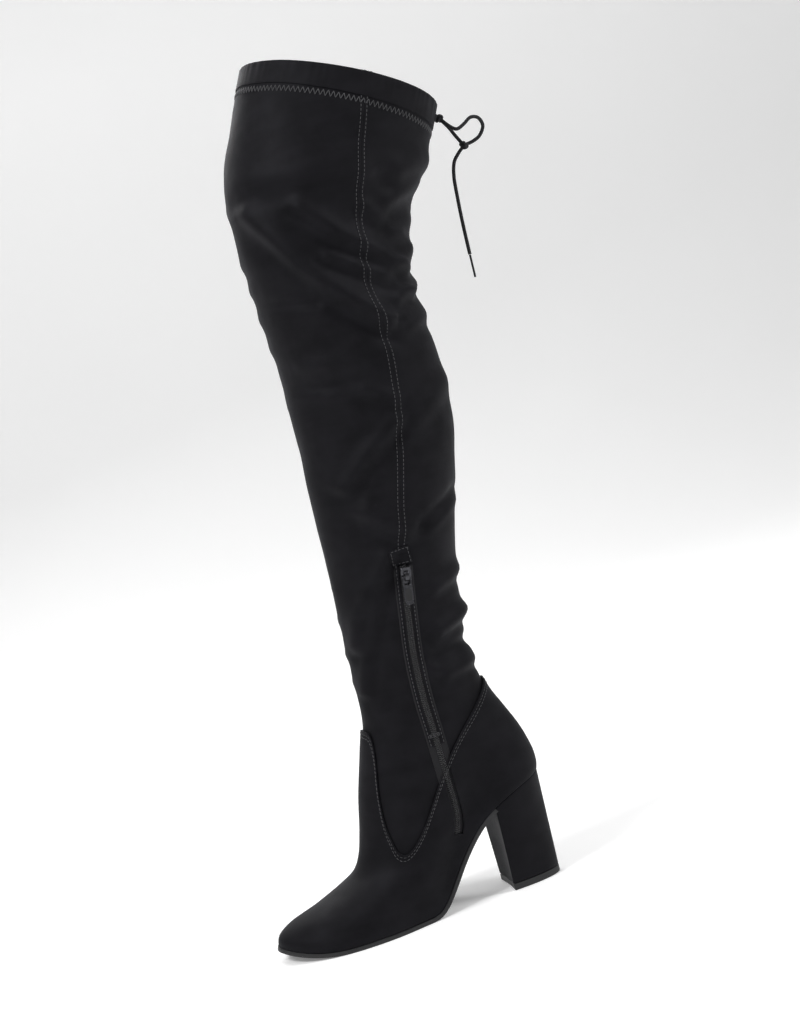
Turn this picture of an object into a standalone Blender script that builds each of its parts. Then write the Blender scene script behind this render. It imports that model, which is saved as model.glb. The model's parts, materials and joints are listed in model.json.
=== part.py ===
# Thigh high boot for the right foot, with a block heel, a zip on its inner side and a drawcord.
# The toe points to -Y, the inner side of the leg is +X, and +Z is up.
# The origin is on the floor, at the middle of the heel's top lift.
from collections import namedtuple
from math import acos, atan2, cos, exp, pi, radians, sin, sqrt

import bmesh
import bpy
from mathutils import Matrix, Vector

mm = 0.001

# Lengths of the foot, measured along the floor from the back of the heel
foot_length = 227 * mm
heel_length = 43 * mm
ball_start = 112 * mm
toe_break = 180 * mm

# Heights above the floor
heel_height = 83.5 * mm
boot_height = 663 * mm
toe_spring = 8 * mm
zip_top = 269 * mm

# Widths across the boot
ball_width = 83 * mm
ankle_width = 68 * mm
calf_width = 102 * mm
knee_width = 125 * mm
collar_width = 146 * mm
heel_tip_width = 42 * mm

# Thicknesses
sole_thickness = 3.2 * mm
upper_wall = 1.4 * mm
shaft_wall = 1.4 * mm
insole_thickness = 2.4 * mm
lift_thickness = 5 * mm

# Gaps between neighbours
seat_gap = 0.35 * mm
layer_gap = 0.6 * mm
insole_inset = 2.3 * mm
slider_gap = 0.9 * mm

# How far the shaft reaches down inside the foot piece
shaft_overlap = 12 * mm

# Edges of sole and heel, outside the skin line of the shaft
sole_margin = 2.4 * mm
heel_margin = 1.7 * mm
breast_hollow = 2.2 * mm
tip_hollow = 0.9 * mm

# Folds of the soft shaft
fold_height = 3.5 * mm
fold_width = 13 * mm

# Casing around the collar
casing_height = 14 * mm
casing_proud = 0.8 * mm
casing_thickness = 3 * mm
casing_edge = 0.8 * mm
cord_hole = 5 * mm
cord_exit_drop = 8.4 * mm
cord_exit_angle = radians(8)

# Zip, its slider and its pull tab
zip_width = 6 * mm
zip_thickness = 1.2 * mm
zip_bottom = 58 * mm
zip_slot_bottom = 54 * mm
zip_slot_top = 136 * mm
zip_slot_width = 7.5 * mm
slider_width = 9 * mm
slider_tail_width = 6.5 * mm
slider_length = 13 * mm
slider_thickness = 2.4 * mm
slider_edge = 0.6 * mm
crown_width = 3.2 * mm
crown_length = 7 * mm
crown_height = 3.4 * mm
pull_hole = 2.7 * mm
pull_width = 7 * mm
pull_length = 17 * mm
pull_thickness = 1.4 * mm
pull_window_length = 5.4 * mm
pull_window_width = 4.6 * mm
pull_end_radius = 4 * mm

# Drawcord
cord_diameter = 2.8 * mm
knot_radius = 3.6 * mm
tip_diameter = 1.7 * mm

# Depths of what only cuts, and how far inside the skin the zip's slot starts
slot_cut_start = 4 * mm
slot_cut_depth = 9 * mm
cut_depth = 12 * mm

# Columns of facets: around the back of the heel, from there to the toe on each side, across the
# heel's breast, and across a sheet on the sole's bed
seat_columns = 5
front_columns = 15
breast_columns = 4
bed_strips = 6

# Rows of facets up the foot piece, up the shaft to a level above the ankle, from there to the
# collar, along the zip and along its slot. A spread of 1 would space a piece's rows evenly.
foot_rows = 12
foot_spread = 0.92
ankle_level = 12
ankle_rows = 11
ankle_spread = 1.3
leg_rows = 25
calf_rows = 5
knee_rows = 10
shaft_names = ("shaft", "shaft_knee", "shaft_thigh")
zip_rows = 28
slot_rows = 13

# Facets around small round things
hole_facets = 12
pull_end_facets = 20
knot_facets = 10
knot_rings = 7

# Edges sharper than this stay sharp when shaded, or are bevelled
crease_angle = radians(35)
bevel_angle = radians(50)

# How fast a fold of one side fades at the front and the back
side_fade = 1.5

# Levels of the heel from its lower end, 1, to its seat, 0, and how square its lower end is
heel_drops = (1.0, 0.8, 0.55, 0.3, 0.12, 0.0)
tip_squareness = 0.85

# The points of a cord stand this many diameters apart
cord_spacing = 2

# The height of the sole's bed from the ball back to the heel, as shares of that length and rise
Arch = namedtuple("Arch", "reach rise")
arch = (
    Arch(0.00, 0.000),
    Arch(0.06, 0.022),
    Arch(0.12, 0.085),
    Arch(0.20, 0.215),
    Arch(0.30, 0.400),
    Arch(0.40, 0.565),
    Arch(0.50, 0.700),
    Arch(0.62, 0.815),
    Arch(0.80, 0.925),
    Arch(1.00, 1.000),
)

# The sole's half widths against an oval, from the heel's back to the toe tip, and its swing
Outline = namedtuple("Outline", "along inner outer swing")
outline = (
    Outline(0.00, 1.20, 1.20, 0.000),
    Outline(0.05, 1.16, 1.16, 0.000),
    Outline(0.11, 1.05, 1.05, 0.000),
    Outline(0.20, 0.84, 0.86, 0.000),
    Outline(0.29, 0.67, 0.78, -0.010),
    Outline(0.40, 0.64, 0.79, -0.020),
    Outline(0.51, 0.80, 0.88, -0.020),
    Outline(0.62, 0.99, 1.00, -0.010),
    Outline(0.70, 1.09, 1.09, 0.000),
    Outline(0.79, 1.17, 1.15, 0.020),
    Outline(0.87, 1.20, 1.19, 0.040),
    Outline(0.94, 1.18, 1.20, 0.060),
    Outline(1.00, 1.12, 1.16, 0.075),
)

# Sections from the sole's edge to the collar. Forward is a share of the foot's length, up is a
# share of the way from the sole's bed to the collar, sole_like says how far the section follows
# the sole's outline and arch, and gather how far its columns draw toward the front.
Section = namedtuple("Section", "front_forward front_up back_forward back_up sole_like gather")
sections = (
    Section(1.000, 0.0000, -0.004, 0.0000, 1.00, 0.00),
    Section(0.989, 0.0104, -0.009, 0.0086, 0.97, 0.06),
    Section(0.943, 0.0196, -0.010, 0.0180, 0.92, 0.12),
    Section(0.863, 0.0273, -0.008, 0.0276, 0.85, 0.17),
    Section(0.780, 0.0373, -0.002, 0.0388, 0.74, 0.21),
    Section(0.700, 0.0511, 0.007, 0.0526, 0.60, 0.24),
    Section(0.659, 0.0703, 0.020, 0.0673, 0.46, 0.25),
    Section(0.630, 0.1010, 0.037, 0.0828, 0.32, 0.23),
    Section(0.601, 0.1424, 0.057, 0.1000, 0.19, 0.19),
    Section(0.562, 0.1853, 0.079, 0.1200, 0.08, 0.14),
    Section(0.531, 0.2222, 0.097, 0.1458, 0.00, 0.09),
    Section(0.522, 0.2590, 0.106, 0.1820, 0.00, 0.05),
    Section(0.520, 0.3081, 0.097, 0.2226, 0.00, 0.02),
    Section(0.513, 0.3587, 0.088, 0.2666, 0.00, 0.00),
    Section(0.507, 0.4093, 0.062, 0.3184, 0.00, 0.00),
    Section(0.504, 0.4584, 0.026, 0.3736, 0.00, 0.00),
    Section(0.498, 0.5091, -0.013, 0.4288, 0.00, 0.00),
    Section(0.491, 0.5566, -0.044, 0.4806, 0.00, 0.00),
    Section(0.489, 0.6057, -0.056, 0.5323, 0.00, 0.00),
    Section(0.487, 0.6548, -0.050, 0.5807, 0.00, 0.00),
    Section(0.498, 0.7039, -0.040, 0.6324, 0.00, 0.00),
    Section(0.507, 0.7530, -0.037, 0.6808, 0.00, 0.00),
    Section(0.513, 0.8021, -0.057, 0.7291, 0.00, 0.00),
    Section(0.509, 0.8481, -0.106, 0.7739, 0.00, 0.00),
    Section(0.483, 0.8926, -0.167, 0.8154, 0.00, 0.00),
    Section(0.436, 0.9294, -0.216, 0.8481, 0.00, 0.00),
    Section(0.388, 0.9662, -0.247, 0.8723, 0.00, 0.00),
    Section(0.339, 1.0000, -0.269, 0.8913, 0.00, 0.00),
)
top_level = len(sections) - 1

# Widths at some of the sections
Girth = namedtuple("Girth", "level width")
girths = (
    Girth(0, ball_width),
    Girth(1, ball_width * 1.015),
    Girth(3, ball_width * 0.965),
    Girth(5, ball_width * 0.905),
    Girth(8, ball_width * 0.850),
    Girth(11, ankle_width),
    Girth(13, ankle_width * 1.12),
    Girth(16, calf_width),
    Girth(20.5, knee_width),
    Girth(24, collar_width * 0.945),
    Girth(27, collar_width),
)

# Top edge of the foot piece: the section that it reaches, from the back seam to the instep
Edge = namedtuple("Edge", "along inner outer")
foot_edge = (
    Edge(0.00, 9.80, 9.8),
    Edge(0.10, 9.20, 9.2),
    Edge(0.18, 8.70, 8.7),
    Edge(0.26, 8.20, 8.1),
    Edge(0.33, 7.75, 7.6),
    Edge(0.41, 7.25, 7.1),
    Edge(0.50, 6.60, 6.4),
    Edge(0.58, 6.05, 5.8),
    Edge(0.66, 5.55, 5.4),
    Edge(0.72, 5.75, 5.6),
    Edge(0.78, 6.40, 6.3),
    Edge(0.85, 7.40, 7.3),
    Edge(0.91, 9.00, 8.9),
    Edge(0.95, 9.60, 9.6),
    Edge(1.00, 9.80, 9.8),
)

# The zip's line on the inner side, from its lower end up to the slider. Up is a share of the zip's
# top height and forward a share of the foot's length.
Station = namedtuple("Station", "up forward")
zip_line = (
    Station(0.200, 0.346),
    Station(0.260, 0.326),
    Station(0.370, 0.326),
    Station(0.520, 0.330),
    Station(0.620, 0.333),
    Station(0.740, 0.328),
    Station(0.880, 0.309),
    Station(1.000, 0.290),
)

# Folds, each a soft ridge from one place to another as seen from the side: side is 1 for the
# inner side, -1 for the outer and 0 for both, forward and up are shares of the foot's length and
# the boot's height, and width and lift are shares of the fold's own sizes. A negative lift is a
# trough.
Fold = namedtuple("Fold", "side from_forward from_up to_forward to_up width lift")
folds = (
    Fold(0, -0.16, 0.845, -0.10, 0.840, 0.9, 1.0),
    Fold(0, -0.10, 0.795, 0.02, 0.790, 0.8, -0.8),
    Fold(0, -0.06, 0.727, 0.02, 0.725, 0.9, 0.8),
    Fold(0, 0.08, 0.334, 0.14, 0.330, 0.8, 1.3),
    Fold(0, 0.10, 0.299, 0.16, 0.298, 0.8, -0.9),
    Fold(1, -0.30, 0.735, 0.18, 0.715, 1.1, -0.6),
    Fold(1, 0.42, 0.830, -0.05, 0.690, 1.0, 0.9),
    Fold(1, 0.50, 0.730, 0.16, 0.640, 1.0, 0.7),
    Fold(1, -0.10, 0.585, 0.30, 0.560, 1.1, 0.5),
    Fold(1, 0.28, 0.415, 0.56, 0.330, 1.1, 0.9),
    Fold(1, 0.12, 0.375, -0.02, 0.390, 1.0, -0.9),
    Fold(-1, -0.10, 0.740, 0.45, 0.700, 1.1, -0.6),
    Fold(-1, -0.02, 0.700, 0.52, 0.650, 1.0, 0.8),
    Fold(-1, 0.02, 0.600, 0.52, 0.575, 1.0, 0.6),
    Fold(-1, 0.16, 0.385, 0.40, 0.355, 1.0, -0.7),
    Fold(-1, 0.16, 0.332, 0.54, 0.312, 0.9, 0.8),
    Fold(-1, 0.18, 0.290, 0.54, 0.270, 0.8, 0.7),
)

# The drawcord, in metres: its knots, and the ways that it runs between and from them
exit_knot = Vector((0.0105, 0.0814, 0.5899))
bow_knot = Vector((0.0098, 0.0953, 0.5655))
cord_loop_route = (
    (0.0163, 0.0863, 0.5815),
    (0.0183, 0.0908, 0.5780),
    (0.0173, 0.0973, 0.5805),
    (0.0158, 0.1043, 0.5845),
    (0.0138, 0.1108, 0.5830),
    (0.0123, 0.1133, 0.5765),
    (0.0110, 0.1093, 0.5700),
    (0.0103, 0.1033, 0.5670),
)
cord_strand_route = (
    (0.0073, 0.0878, 0.5820),
    (0.0068, 0.0913, 0.5750),
)
cord_end_route = (
    (0.0098, 0.0893, 0.5605),
    (0.0094, 0.0843, 0.5545),
    (0.0090, 0.0813, 0.5435),
    (0.0088, 0.0798, 0.5265),
    (0.0088, 0.0786, 0.5065),
    (0.0088, 0.0778, 0.4835),
)
cord_tip_end = Vector((0.0092, 0.0772, 0.4655))


def mix(low, high, share):
    return low + (high - low) * share


# A value read from a table by its first column, on a smooth curve through the rows
def table_value(rows, column, at):
    keys = [row[0] for row in rows]
    values = [getattr(row, column) for row in rows]
    if at <= keys[0]:
        return values[0]
    if at >= keys[-1]:
        return values[-1]
    last = len(rows) - 1
    row = max(i for i in range(last) if keys[i] <= at)

    def slope(i):
        low, high = max(i - 1, 0), min(i + 1, last)
        return (values[high] - values[low]) / (keys[high] - keys[low])

    span = keys[row + 1] - keys[row]
    share = (at - keys[row]) / span
    rest = 1 - share
    return (
        values[row] * (1 + 2 * share) * rest ** 2
        + values[row + 1] * (3 - 2 * share) * share ** 2
        + slope(row) * span * share * rest ** 2
        - slope(row + 1) * span * rest * share ** 2
    )


# The same for the sections, whose rows are one level apart
def section_value(column, level):
    row = min(max(int(level), 0), top_level - 1)
    share = level - row
    values = [
        getattr(sections[min(max(row + step, 0), top_level)], column) for step in (-1, 0, 1, 2)
    ]
    lead = (values[2] - values[0]) / 2
    tail = (values[3] - values[1]) / 2
    rest = 1 - share
    return (
        values[1] * (1 + 2 * share) * rest ** 2
        + values[2] * (3 - 2 * share) * share ** 2
        + lead * share * rest ** 2
        - tail * rest * share ** 2
    )


# Height of the sole's upper face above the floor
def bed_height(forward):
    if forward > toe_break:
        share = (forward - toe_break) / (foot_length - toe_break)
        return sole_thickness + toe_spring * share ** 2
    if forward > ball_start:
        return sole_thickness
    reach = 1 - forward / ball_start
    return sole_thickness + (heel_height - sole_thickness) * table_value(arch, "rise", reach)


# Height of something that lies on the bed with a gap measured square to it
def height_over_bed(forward, gap):
    step = 1 * mm
    slope = (bed_height(forward + step) - bed_height(forward - step)) / (2 * step)
    return bed_height(forward) + gap * sqrt(1 + slope ** 2)


def world_point(across, forward, up):
    return Vector((across, heel_length / 2 - forward, up))


# The bed's height against a straight line between its ends
def arch_sag(forward):
    back = sections[0].back_forward * foot_length
    front = sections[0].front_forward * foot_length
    straight = mix(bed_height(back), bed_height(front), (forward - back) / (front - back))
    return bed_height(forward) - straight


# Forward and up of a place seen from the side: along runs from the back, 0, to the front, 1
def side_place(level, along):
    back_bed = bed_height(sections[0].back_forward * foot_length)
    front_bed = bed_height(sections[0].front_forward * foot_length)
    back = section_value("back_forward", level) * foot_length
    front = section_value("front_forward", level) * foot_length
    back_up = mix(back_bed, boot_height, section_value("back_up", level))
    front_up = mix(front_bed, boot_height, section_value("front_up", level))
    forward = mix(back, front, along)
    sag = arch_sag(forward) - mix(arch_sag(back), arch_sag(front), along)
    return forward, mix(back_up, front_up, along) + sag * section_value("sole_like", level)


# The angle on a section that a column has there: a column's turn is 0 at the front, a quarter on
# the inner side and a half at the back
def gathered(level, turn):
    return turn - section_value("gather", level) * sin(turn)


def plain_skin(level, turn):
    angle = gathered(level, turn)
    along = (1 + cos(angle)) / 2
    forward, up = side_place(level, along)
    sole_like = section_value("sole_like", level)
    half_width = table_value(girths, "width", level) / 2
    edge = "inner" if sin(angle) > 0 else "outer"
    shape = mix(1, table_value(outline, edge, along), sole_like)
    swing = table_value(outline, "swing", along) * sole_like
    return world_point(half_width * (swing + shape * sin(angle)), forward, up)


def skin_normal(level, turn):
    turn_step = 0.02
    level_step = 0.05
    low = max(level - level_step, 0)
    high = min(level + level_step, top_level)
    around = plain_skin(level, turn + turn_step) - plain_skin(level, turn - turn_step)
    upward = plain_skin(high, turn) - plain_skin(low, turn)
    return around.cross(upward).normalized()


# How far the folds lift the skin at a place, with both sides fading into each other at the
# front and the back
def fold_lift(level, turn):
    place = Vector(side_place(level, (1 + cos(gathered(level, turn))) / 2))
    lift = 0
    for fold in folds:
        start = Vector((fold.from_forward * foot_length, fold.from_up * boot_height))
        end = Vector((fold.to_forward * foot_length, fold.to_up * boot_height))
        run = end - start
        share = min(max((place - start).dot(run) / run.length_squared, 0), 1)
        far = (place - start - run * share).length / (fold.width * fold_width)
        side = min(max(0.5 + fold.side * sin(turn) * side_fade, 0), 1) if fold.side else 1
        lift += fold.lift * fold_height * exp(-far ** 2) * side ** 2 * (3 - 2 * side)
    return lift


def skin(level, turn, proud=0.0):
    return plain_skin(level, turn) + skin_normal(level, turn) * (fold_lift(level, turn) + proud)


# The level and turn of a place on the inner side that is given as seen from the side
def find_place(forward, up):
    low, high = 0, top_level
    for _ in range(30):
        level = (low + high) / 2
        back = section_value("back_forward", level) * foot_length
        front = section_value("front_forward", level) * foot_length
        along = min(max((forward - back) / (front - back), 0), 1)
        if side_place(level, along)[1] < up:
            low = level
        else:
            high = level
    angle = acos(2 * along - 1)
    turn = angle
    for _ in range(8):
        turn = angle + section_value("gather", level) * sin(turn)
    return level, turn


# Turns of the facet columns, from the toe over the inner side to the heel's back and round again.
# One column stands where the heel's breast meets the sole.
def column_turns():
    back = sections[0].back_forward * foot_length
    front = sections[0].front_forward * foot_length
    breast = acos(2 * (heel_length - back) / (front - back) - 1)
    inner = [breast * i / front_columns for i in range(front_columns)]
    inner += [mix(breast, pi, i / seat_columns) for i in range(seat_columns + 1)]
    return inner + [2 * pi - turn for turn in reversed(inner[1:-1])]


turns = column_turns()


# A place on the sole's outline, on the bed, with a margin outside the skin
def outline_place(turn, margin):
    plain = plain_skin(0, turn)
    across = plain.x + margin * sin(turn)
    forward = heel_length / 2 - plain.y + margin * cos(turn)
    return across, forward


def make_collection(name):
    collection = bpy.data.collections.new(name)
    bpy.context.scene.collection.children.link(collection)
    return collection


def make_material(name, colour, roughness, metallic=0.0):
    material = bpy.data.materials.new(name)
    material.use_nodes = True
    surface = material.node_tree.nodes["Principled BSDF"]
    surface.inputs["Base Color"].default_value = (*colour, 1)
    surface.inputs["Roughness"].default_value = roughness
    surface.inputs["Metallic"].default_value = metallic
    return material


def make_object(name, mesh, material, collection):
    item = bpy.data.objects.new(name, mesh)
    collection.objects.link(item)
    if material:
        mesh.materials.append(material)
    return item


def mesh_of(name, points, faces):
    mesh = bpy.data.meshes.new(name)
    mesh.from_pydata(points, [], faces)
    mesh.update()
    return mesh


# An open sheet over rows of points; a closed one joins its last column to its first
def sheet_mesh(name, rows, closed):
    columns = len(rows[0])
    points = [point for row in rows for point in row]
    faces = []
    for row in range(len(rows) - 1):
        for column in range(columns if closed else columns - 1):
            after = (column + 1) % columns
            low, high = row * columns, (row + 1) * columns
            faces.append((low + column, low + after, high + after, high + column))
    mesh = mesh_of(name, points, faces)
    mesh.shade_smooth()
    return mesh


def merge_same_points(mesh):
    edit = bmesh.new()
    edit.from_mesh(mesh)
    bmesh.ops.remove_doubles(edit, verts=edit.verts, dist=0.01 * mm)
    edit.to_mesh(mesh)
    edit.free()


# Wall that grows from a sheet: with offset -1 against its normals, and with 1 along them
def thicken(item, thickness, offset=-1):
    wall = item.modifiers.new("wall", "SOLIDIFY")
    wall.thickness = thickness
    wall.offset = offset
    wall.use_even_offset = True


def round_edges(item, width):
    bevel = item.modifiers.new("round", "BEVEL")
    bevel.width = width
    bevel.segments = 1
    bevel.limit_method = "ANGLE"
    bevel.angle_limit = bevel_angle


def combine(item, other, operation):
    boolean = item.modifiers.new(operation.lower(), "BOOLEAN")
    boolean.operation = operation
    boolean.solver = "EXACT"
    boolean.object = other


def hide_cutter(item):
    item.hide_render = True
    item.display_type = "WIRE"


# Tube of fabric between two edges, each a level for every turn
def skin_tube(name, row_levels, proud, wall, material, collection):
    rows = [[skin(level, turn, proud) for level, turn in zip(levels, turns)] for levels in row_levels]
    item = make_object(name, sheet_mesh(name, rows, True), material, collection)
    thicken(item, wall)
    return item


# The level of the foot piece's top edge at each turn
def edge_levels():
    levels = []
    for turn in turns:
        column = "inner" if sin(turn) > 0 else "outer"
        levels.append(table_value(foot_edge, column, (1 + cos(turn)) / 2))
    return levels


# The level at a distance down the skin from another level
def level_below(level, turn, drop):
    step = 0.5
    length = (plain_skin(level, turn) - plain_skin(level - step, turn)).length
    return level - drop / length * step


# Sheet on the bed between two turns, from the front backward, and across from outer to inner
def bed_sheet(name, sheet_turns, margin, gap):
    rows = []
    for turn in sheet_turns:
        inner_across, forward = outline_place(turn, margin)
        outer_across = outline_place(2 * pi - turn, margin)[0]
        row = []
        for strip in range(bed_strips + 1):
            across = mix(outer_across, inner_across, strip / bed_strips)
            row.append(world_point(across, forward, height_over_bed(forward, gap)))
        rows.append(row)
    mesh = sheet_mesh(name, list(reversed(rows)), False)
    merge_same_points(mesh)
    mesh.flip_normals()
    return mesh


def make_outsole(material, collection, cutters):
    sole_turns = turns[: front_columns + 2]
    mesh = bed_sheet("outsole", sole_turns, sole_margin, 0)
    item = make_object("outsole", mesh, material, collection)
    thicken(item, sole_thickness)
    size = (ball_width, heel_length, heel_height)
    middle = (0, -seat_gap, bed_height(heel_length))
    cutter = block("breast_cut", size, middle, None, cutters)
    hide_cutter(cutter)
    combine(item, cutter, "DIFFERENCE")


def make_insole(material, collection):
    half_turns = turns[: front_columns + seat_columns + 1]
    mesh = bed_sheet("insole", half_turns, -insole_inset, seat_gap)
    item = make_object("insole", mesh, material, collection)
    thicken(item, insole_thickness, 1)


# Outline of the heel's lower end, rounded at the back and widest at the breast
def heel_tip_place(share, side):
    angle = share * pi / 2
    forward = heel_length * (1 - cos(angle))
    across = side * heel_tip_width / 2 * sin(angle) ** tip_squareness
    return across, forward


# One level ring of the heel, from the inner breast corner round the back and along the breast
def heel_ring(drop):
    rim = []
    for side in (1, -1):
        half = []
        for step in range(seat_columns, -1, -1):
            turn = turns[front_columns + seat_columns - step]
            seat_across, seat_forward = outline_place(turn, heel_margin)
            if step == seat_columns:
                seat_forward = heel_length
            tip_across, tip_forward = heel_tip_place(step / seat_columns, side)
            seat_up = bed_height(seat_forward)
            across = mix(side * seat_across, tip_across, drop)
            forward = mix(seat_forward, tip_forward, drop)
            up = mix(seat_up, lift_thickness + seat_gap, drop)
            half.append(world_point(across, forward, up))
        rim += half if side == 1 else list(reversed(half))[1:]
    hollow = breast_hollow * sin(pi * drop) + tip_hollow * drop
    inner_corner = rim[0]
    outer_corner = rim[-1]
    for column in range(1, breast_columns):
        share = column / breast_columns
        point = outer_corner.lerp(inner_corner, share)
        point.y += hollow * sin(pi * share)
        rim.append(point)
    return rim


def make_heel(material, collection):
    rings = [heel_ring(drop) for drop in heel_drops]
    mesh = sheet_mesh("heel", rings, True)
    edit = bmesh.new()
    edit.from_mesh(mesh)
    edit.verts.ensure_lookup_table()
    count = len(rings[0])
    edit.faces.new([edit.verts[i] for i in range(count)])
    top = [edit.verts[(len(rings) - 1) * count + i] for i in range(count)]
    last = 2 * seat_columns
    for i in range(seat_columns):
        corners = [top[i], top[i + 1], top[last - i - 1], top[last - i]]
        if i == 0:
            corners += top[last + 1:]
        if i == seat_columns - 1:
            corners = [top[i], top[i + 1], top[last - i]]
        edit.faces.new(corners)
    bmesh.ops.recalc_face_normals(edit, faces=edit.faces)
    edit.to_mesh(mesh)
    edit.free()
    mesh.set_sharp_from_angle(angle=crease_angle)
    make_object("heel", mesh, material, collection)


def make_top_lift(material, collection):
    ring = [Vector((point.x, point.y, 0)) for point in heel_ring(heel_drops[0])]
    mesh = mesh_of("top_lift", ring, [tuple(range(len(ring)))])
    item = make_object("top_lift", mesh, material, collection)
    thicken(item, lift_thickness, 1)


def make_upper(material, collection):
    shares = [(row / foot_rows) ** foot_spread for row in range(foot_rows + 1)]
    row_levels = [[level * share for level in edge_levels()] for share in shares]
    item = skin_tube("upper", row_levels, layer_gap + upper_wall, upper_wall, material, collection)
    for vertex in item.data.vertices[: len(turns)]:
        vertex.co.z = height_over_bed(heel_length / 2 - vertex.co.y, seat_gap)
    return item


def make_shaft(material, collection):
    edge = [level_below(level, turn, shaft_overlap) for level, turn in zip(edge_levels(), turns)]
    shares = [(row / ankle_rows) ** ankle_spread for row in range(ankle_rows)]
    row_levels = [[mix(level, ankle_level, share) for level in edge] for share in shares]
    ends = [level_below(top_level, turn, casing_height + seat_gap) for turn in turns]
    for row in range(leg_rows + 1):
        row_levels.append([mix(ankle_level, end, row / leg_rows) for end in ends])
    starts = (0, ankle_rows + calf_rows, ankle_rows + calf_rows + knee_rows, len(row_levels) - 1)
    for name, start, end in zip(shaft_names, starts[:-1], starts[1:]):
        levels = row_levels[start : end + 1]
        if name != shaft_names[-1]:
            levels[-1] = [level_below(level, turn, seat_gap) for level, turn in zip(levels[-1], turns)]
        skin_tube(name, levels, 0, shaft_wall, material, collection)


def make_casing(material, collection, cutters):
    starts = [level_below(top_level, turn, casing_height) for turn in turns]
    row_levels = [[mix(start, top_level, share) for start in starts] for share in (0, 0.5, 1)]
    item = skin_tube("collar_casing", row_levels, casing_proud, casing_thickness, material, collection)
    round_edges(item, casing_edge)
    turn = pi - cord_exit_angle
    level = level_below(top_level, turn, cord_exit_drop)
    cutter = rod("cord_hole", cord_hole / 2, cut_depth, (0, 0, 0), upright, hole_facets, None, cutters)
    cutter.location = skin(level, turn)
    cutter.rotation_euler = skin_normal(level, turn).to_track_quat("Z", "Y").to_euler()
    hide_cutter(cutter)
    combine(item, cutter, "DIFFERENCE")


# How far forward the zip's line is at a height
def zip_forward(up):
    return table_value(zip_line, "forward", up / zip_top) * foot_length


# Strip along the zip's line, as rows of points across it
def zip_strip(bottom, top, width, proud, rows):
    points = []
    step = (top - bottom) / rows
    for row in range(rows + 1):
        up = bottom + step * row
        run = Vector((zip_forward(up + step) - zip_forward(up - step), 2 * step)).normalized()
        line = []
        for aside in (-width / 2, 0, width / 2):
            level, turn = find_place(zip_forward(up) - aside * run.y, up + aside * run.x)
            line.append(skin(level, turn, proud))
        points.append(line)
    return points


def make_zip(material, collection):
    rows = zip_strip(zip_bottom, zip_top, zip_width, seat_gap, zip_rows)
    item = make_object("zip", sheet_mesh("zip", rows, False), material, collection)
    thicken(item, zip_thickness, 1)


# Slot in the foot piece that the zip's lower end runs in
def cut_zip_slot(upper, cutters):
    rows = zip_strip(zip_slot_bottom, zip_slot_top, zip_slot_width, -slot_cut_start, slot_rows)
    cutter = make_object("zip_slot", sheet_mesh("zip_slot", rows, False), None, cutters)
    thicken(cutter, slot_cut_depth, 1)
    hide_cutter(cutter)
    combine(upper, cutter, "DIFFERENCE")


# Frame at the slider: X across the zip, Y up along it, Z away from the leg
def slider_frame():
    half = slider_length / 2
    up = zip_top - half
    level, turn = find_place(zip_forward(up), up)
    outward = skin_normal(level, turn)
    low, high = (find_place(zip_forward(end), end) for end in (up - half, up + half))
    upward = skin(*high) - skin(*low)
    upward = (upward - outward * upward.dot(outward)).normalized()
    across = upward.cross(outward)
    proud = seat_gap + zip_thickness + slider_gap
    frame = Matrix((across, upward, outward)).transposed().to_4x4()
    frame.translation = skin(level, turn, proud)
    return frame


def block(name, size, middle, material, collection):
    mesh = bpy.data.meshes.new(name)
    edit = bmesh.new()
    bmesh.ops.create_cube(edit, size=1)
    bmesh.ops.scale(edit, vec=size, verts=edit.verts)
    bmesh.ops.translate(edit, vec=middle, verts=edit.verts)
    edit.to_mesh(mesh)
    edit.free()
    return make_object(name, mesh, material, collection)


def rod(name, radius, length, middle, turned, segments, material, collection):
    mesh = bpy.data.meshes.new(name)
    edit = bmesh.new()
    bmesh.ops.create_cone(
        edit, cap_ends=True, segments=segments, radius1=radius, radius2=radius, depth=length
    )
    bmesh.ops.transform(edit, matrix=turned, verts=edit.verts)
    bmesh.ops.translate(edit, vec=middle, verts=edit.verts)
    edit.to_mesh(mesh)
    edit.free()
    mesh.shade_smooth()
    mesh.set_sharp_from_angle(angle=crease_angle)
    return make_object(name, mesh, material, collection)


hinge_height = slider_thickness + crown_height / 2
sideways = Matrix.Rotation(pi / 2, 4, "Y")
upright = Matrix.Identity(4)


def make_slider(frame, material, collection, cutters):
    body_middle = (0, 0, slider_thickness / 2)
    body_size = (slider_width, slider_length, slider_thickness)
    item = block("zip_slider", body_size, body_middle, material, collection)
    for vertex in item.data.vertices:
        if vertex.co.y < 0:
            vertex.co.x *= slider_tail_width / slider_width
    round_edges(item, slider_edge)
    sunk = slider_thickness / 2
    crown_size = (crown_width, crown_length, crown_height + sunk)
    crown_middle = (0, 0, slider_thickness + (crown_height - sunk) / 2)
    crown = block("slider_crown", crown_size, crown_middle, None, cutters)
    pivot = (0, 0, hinge_height)
    hole = rod(
        "slider_hole", pull_hole / 2, cut_depth, pivot, sideways, hole_facets, None, cutters
    )
    for other, operation in ((crown, "UNION"), (hole, "DIFFERENCE")):
        hide_cutter(other)
        other.matrix_world = frame
        combine(item, other, operation)
    item.matrix_world = frame


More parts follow.
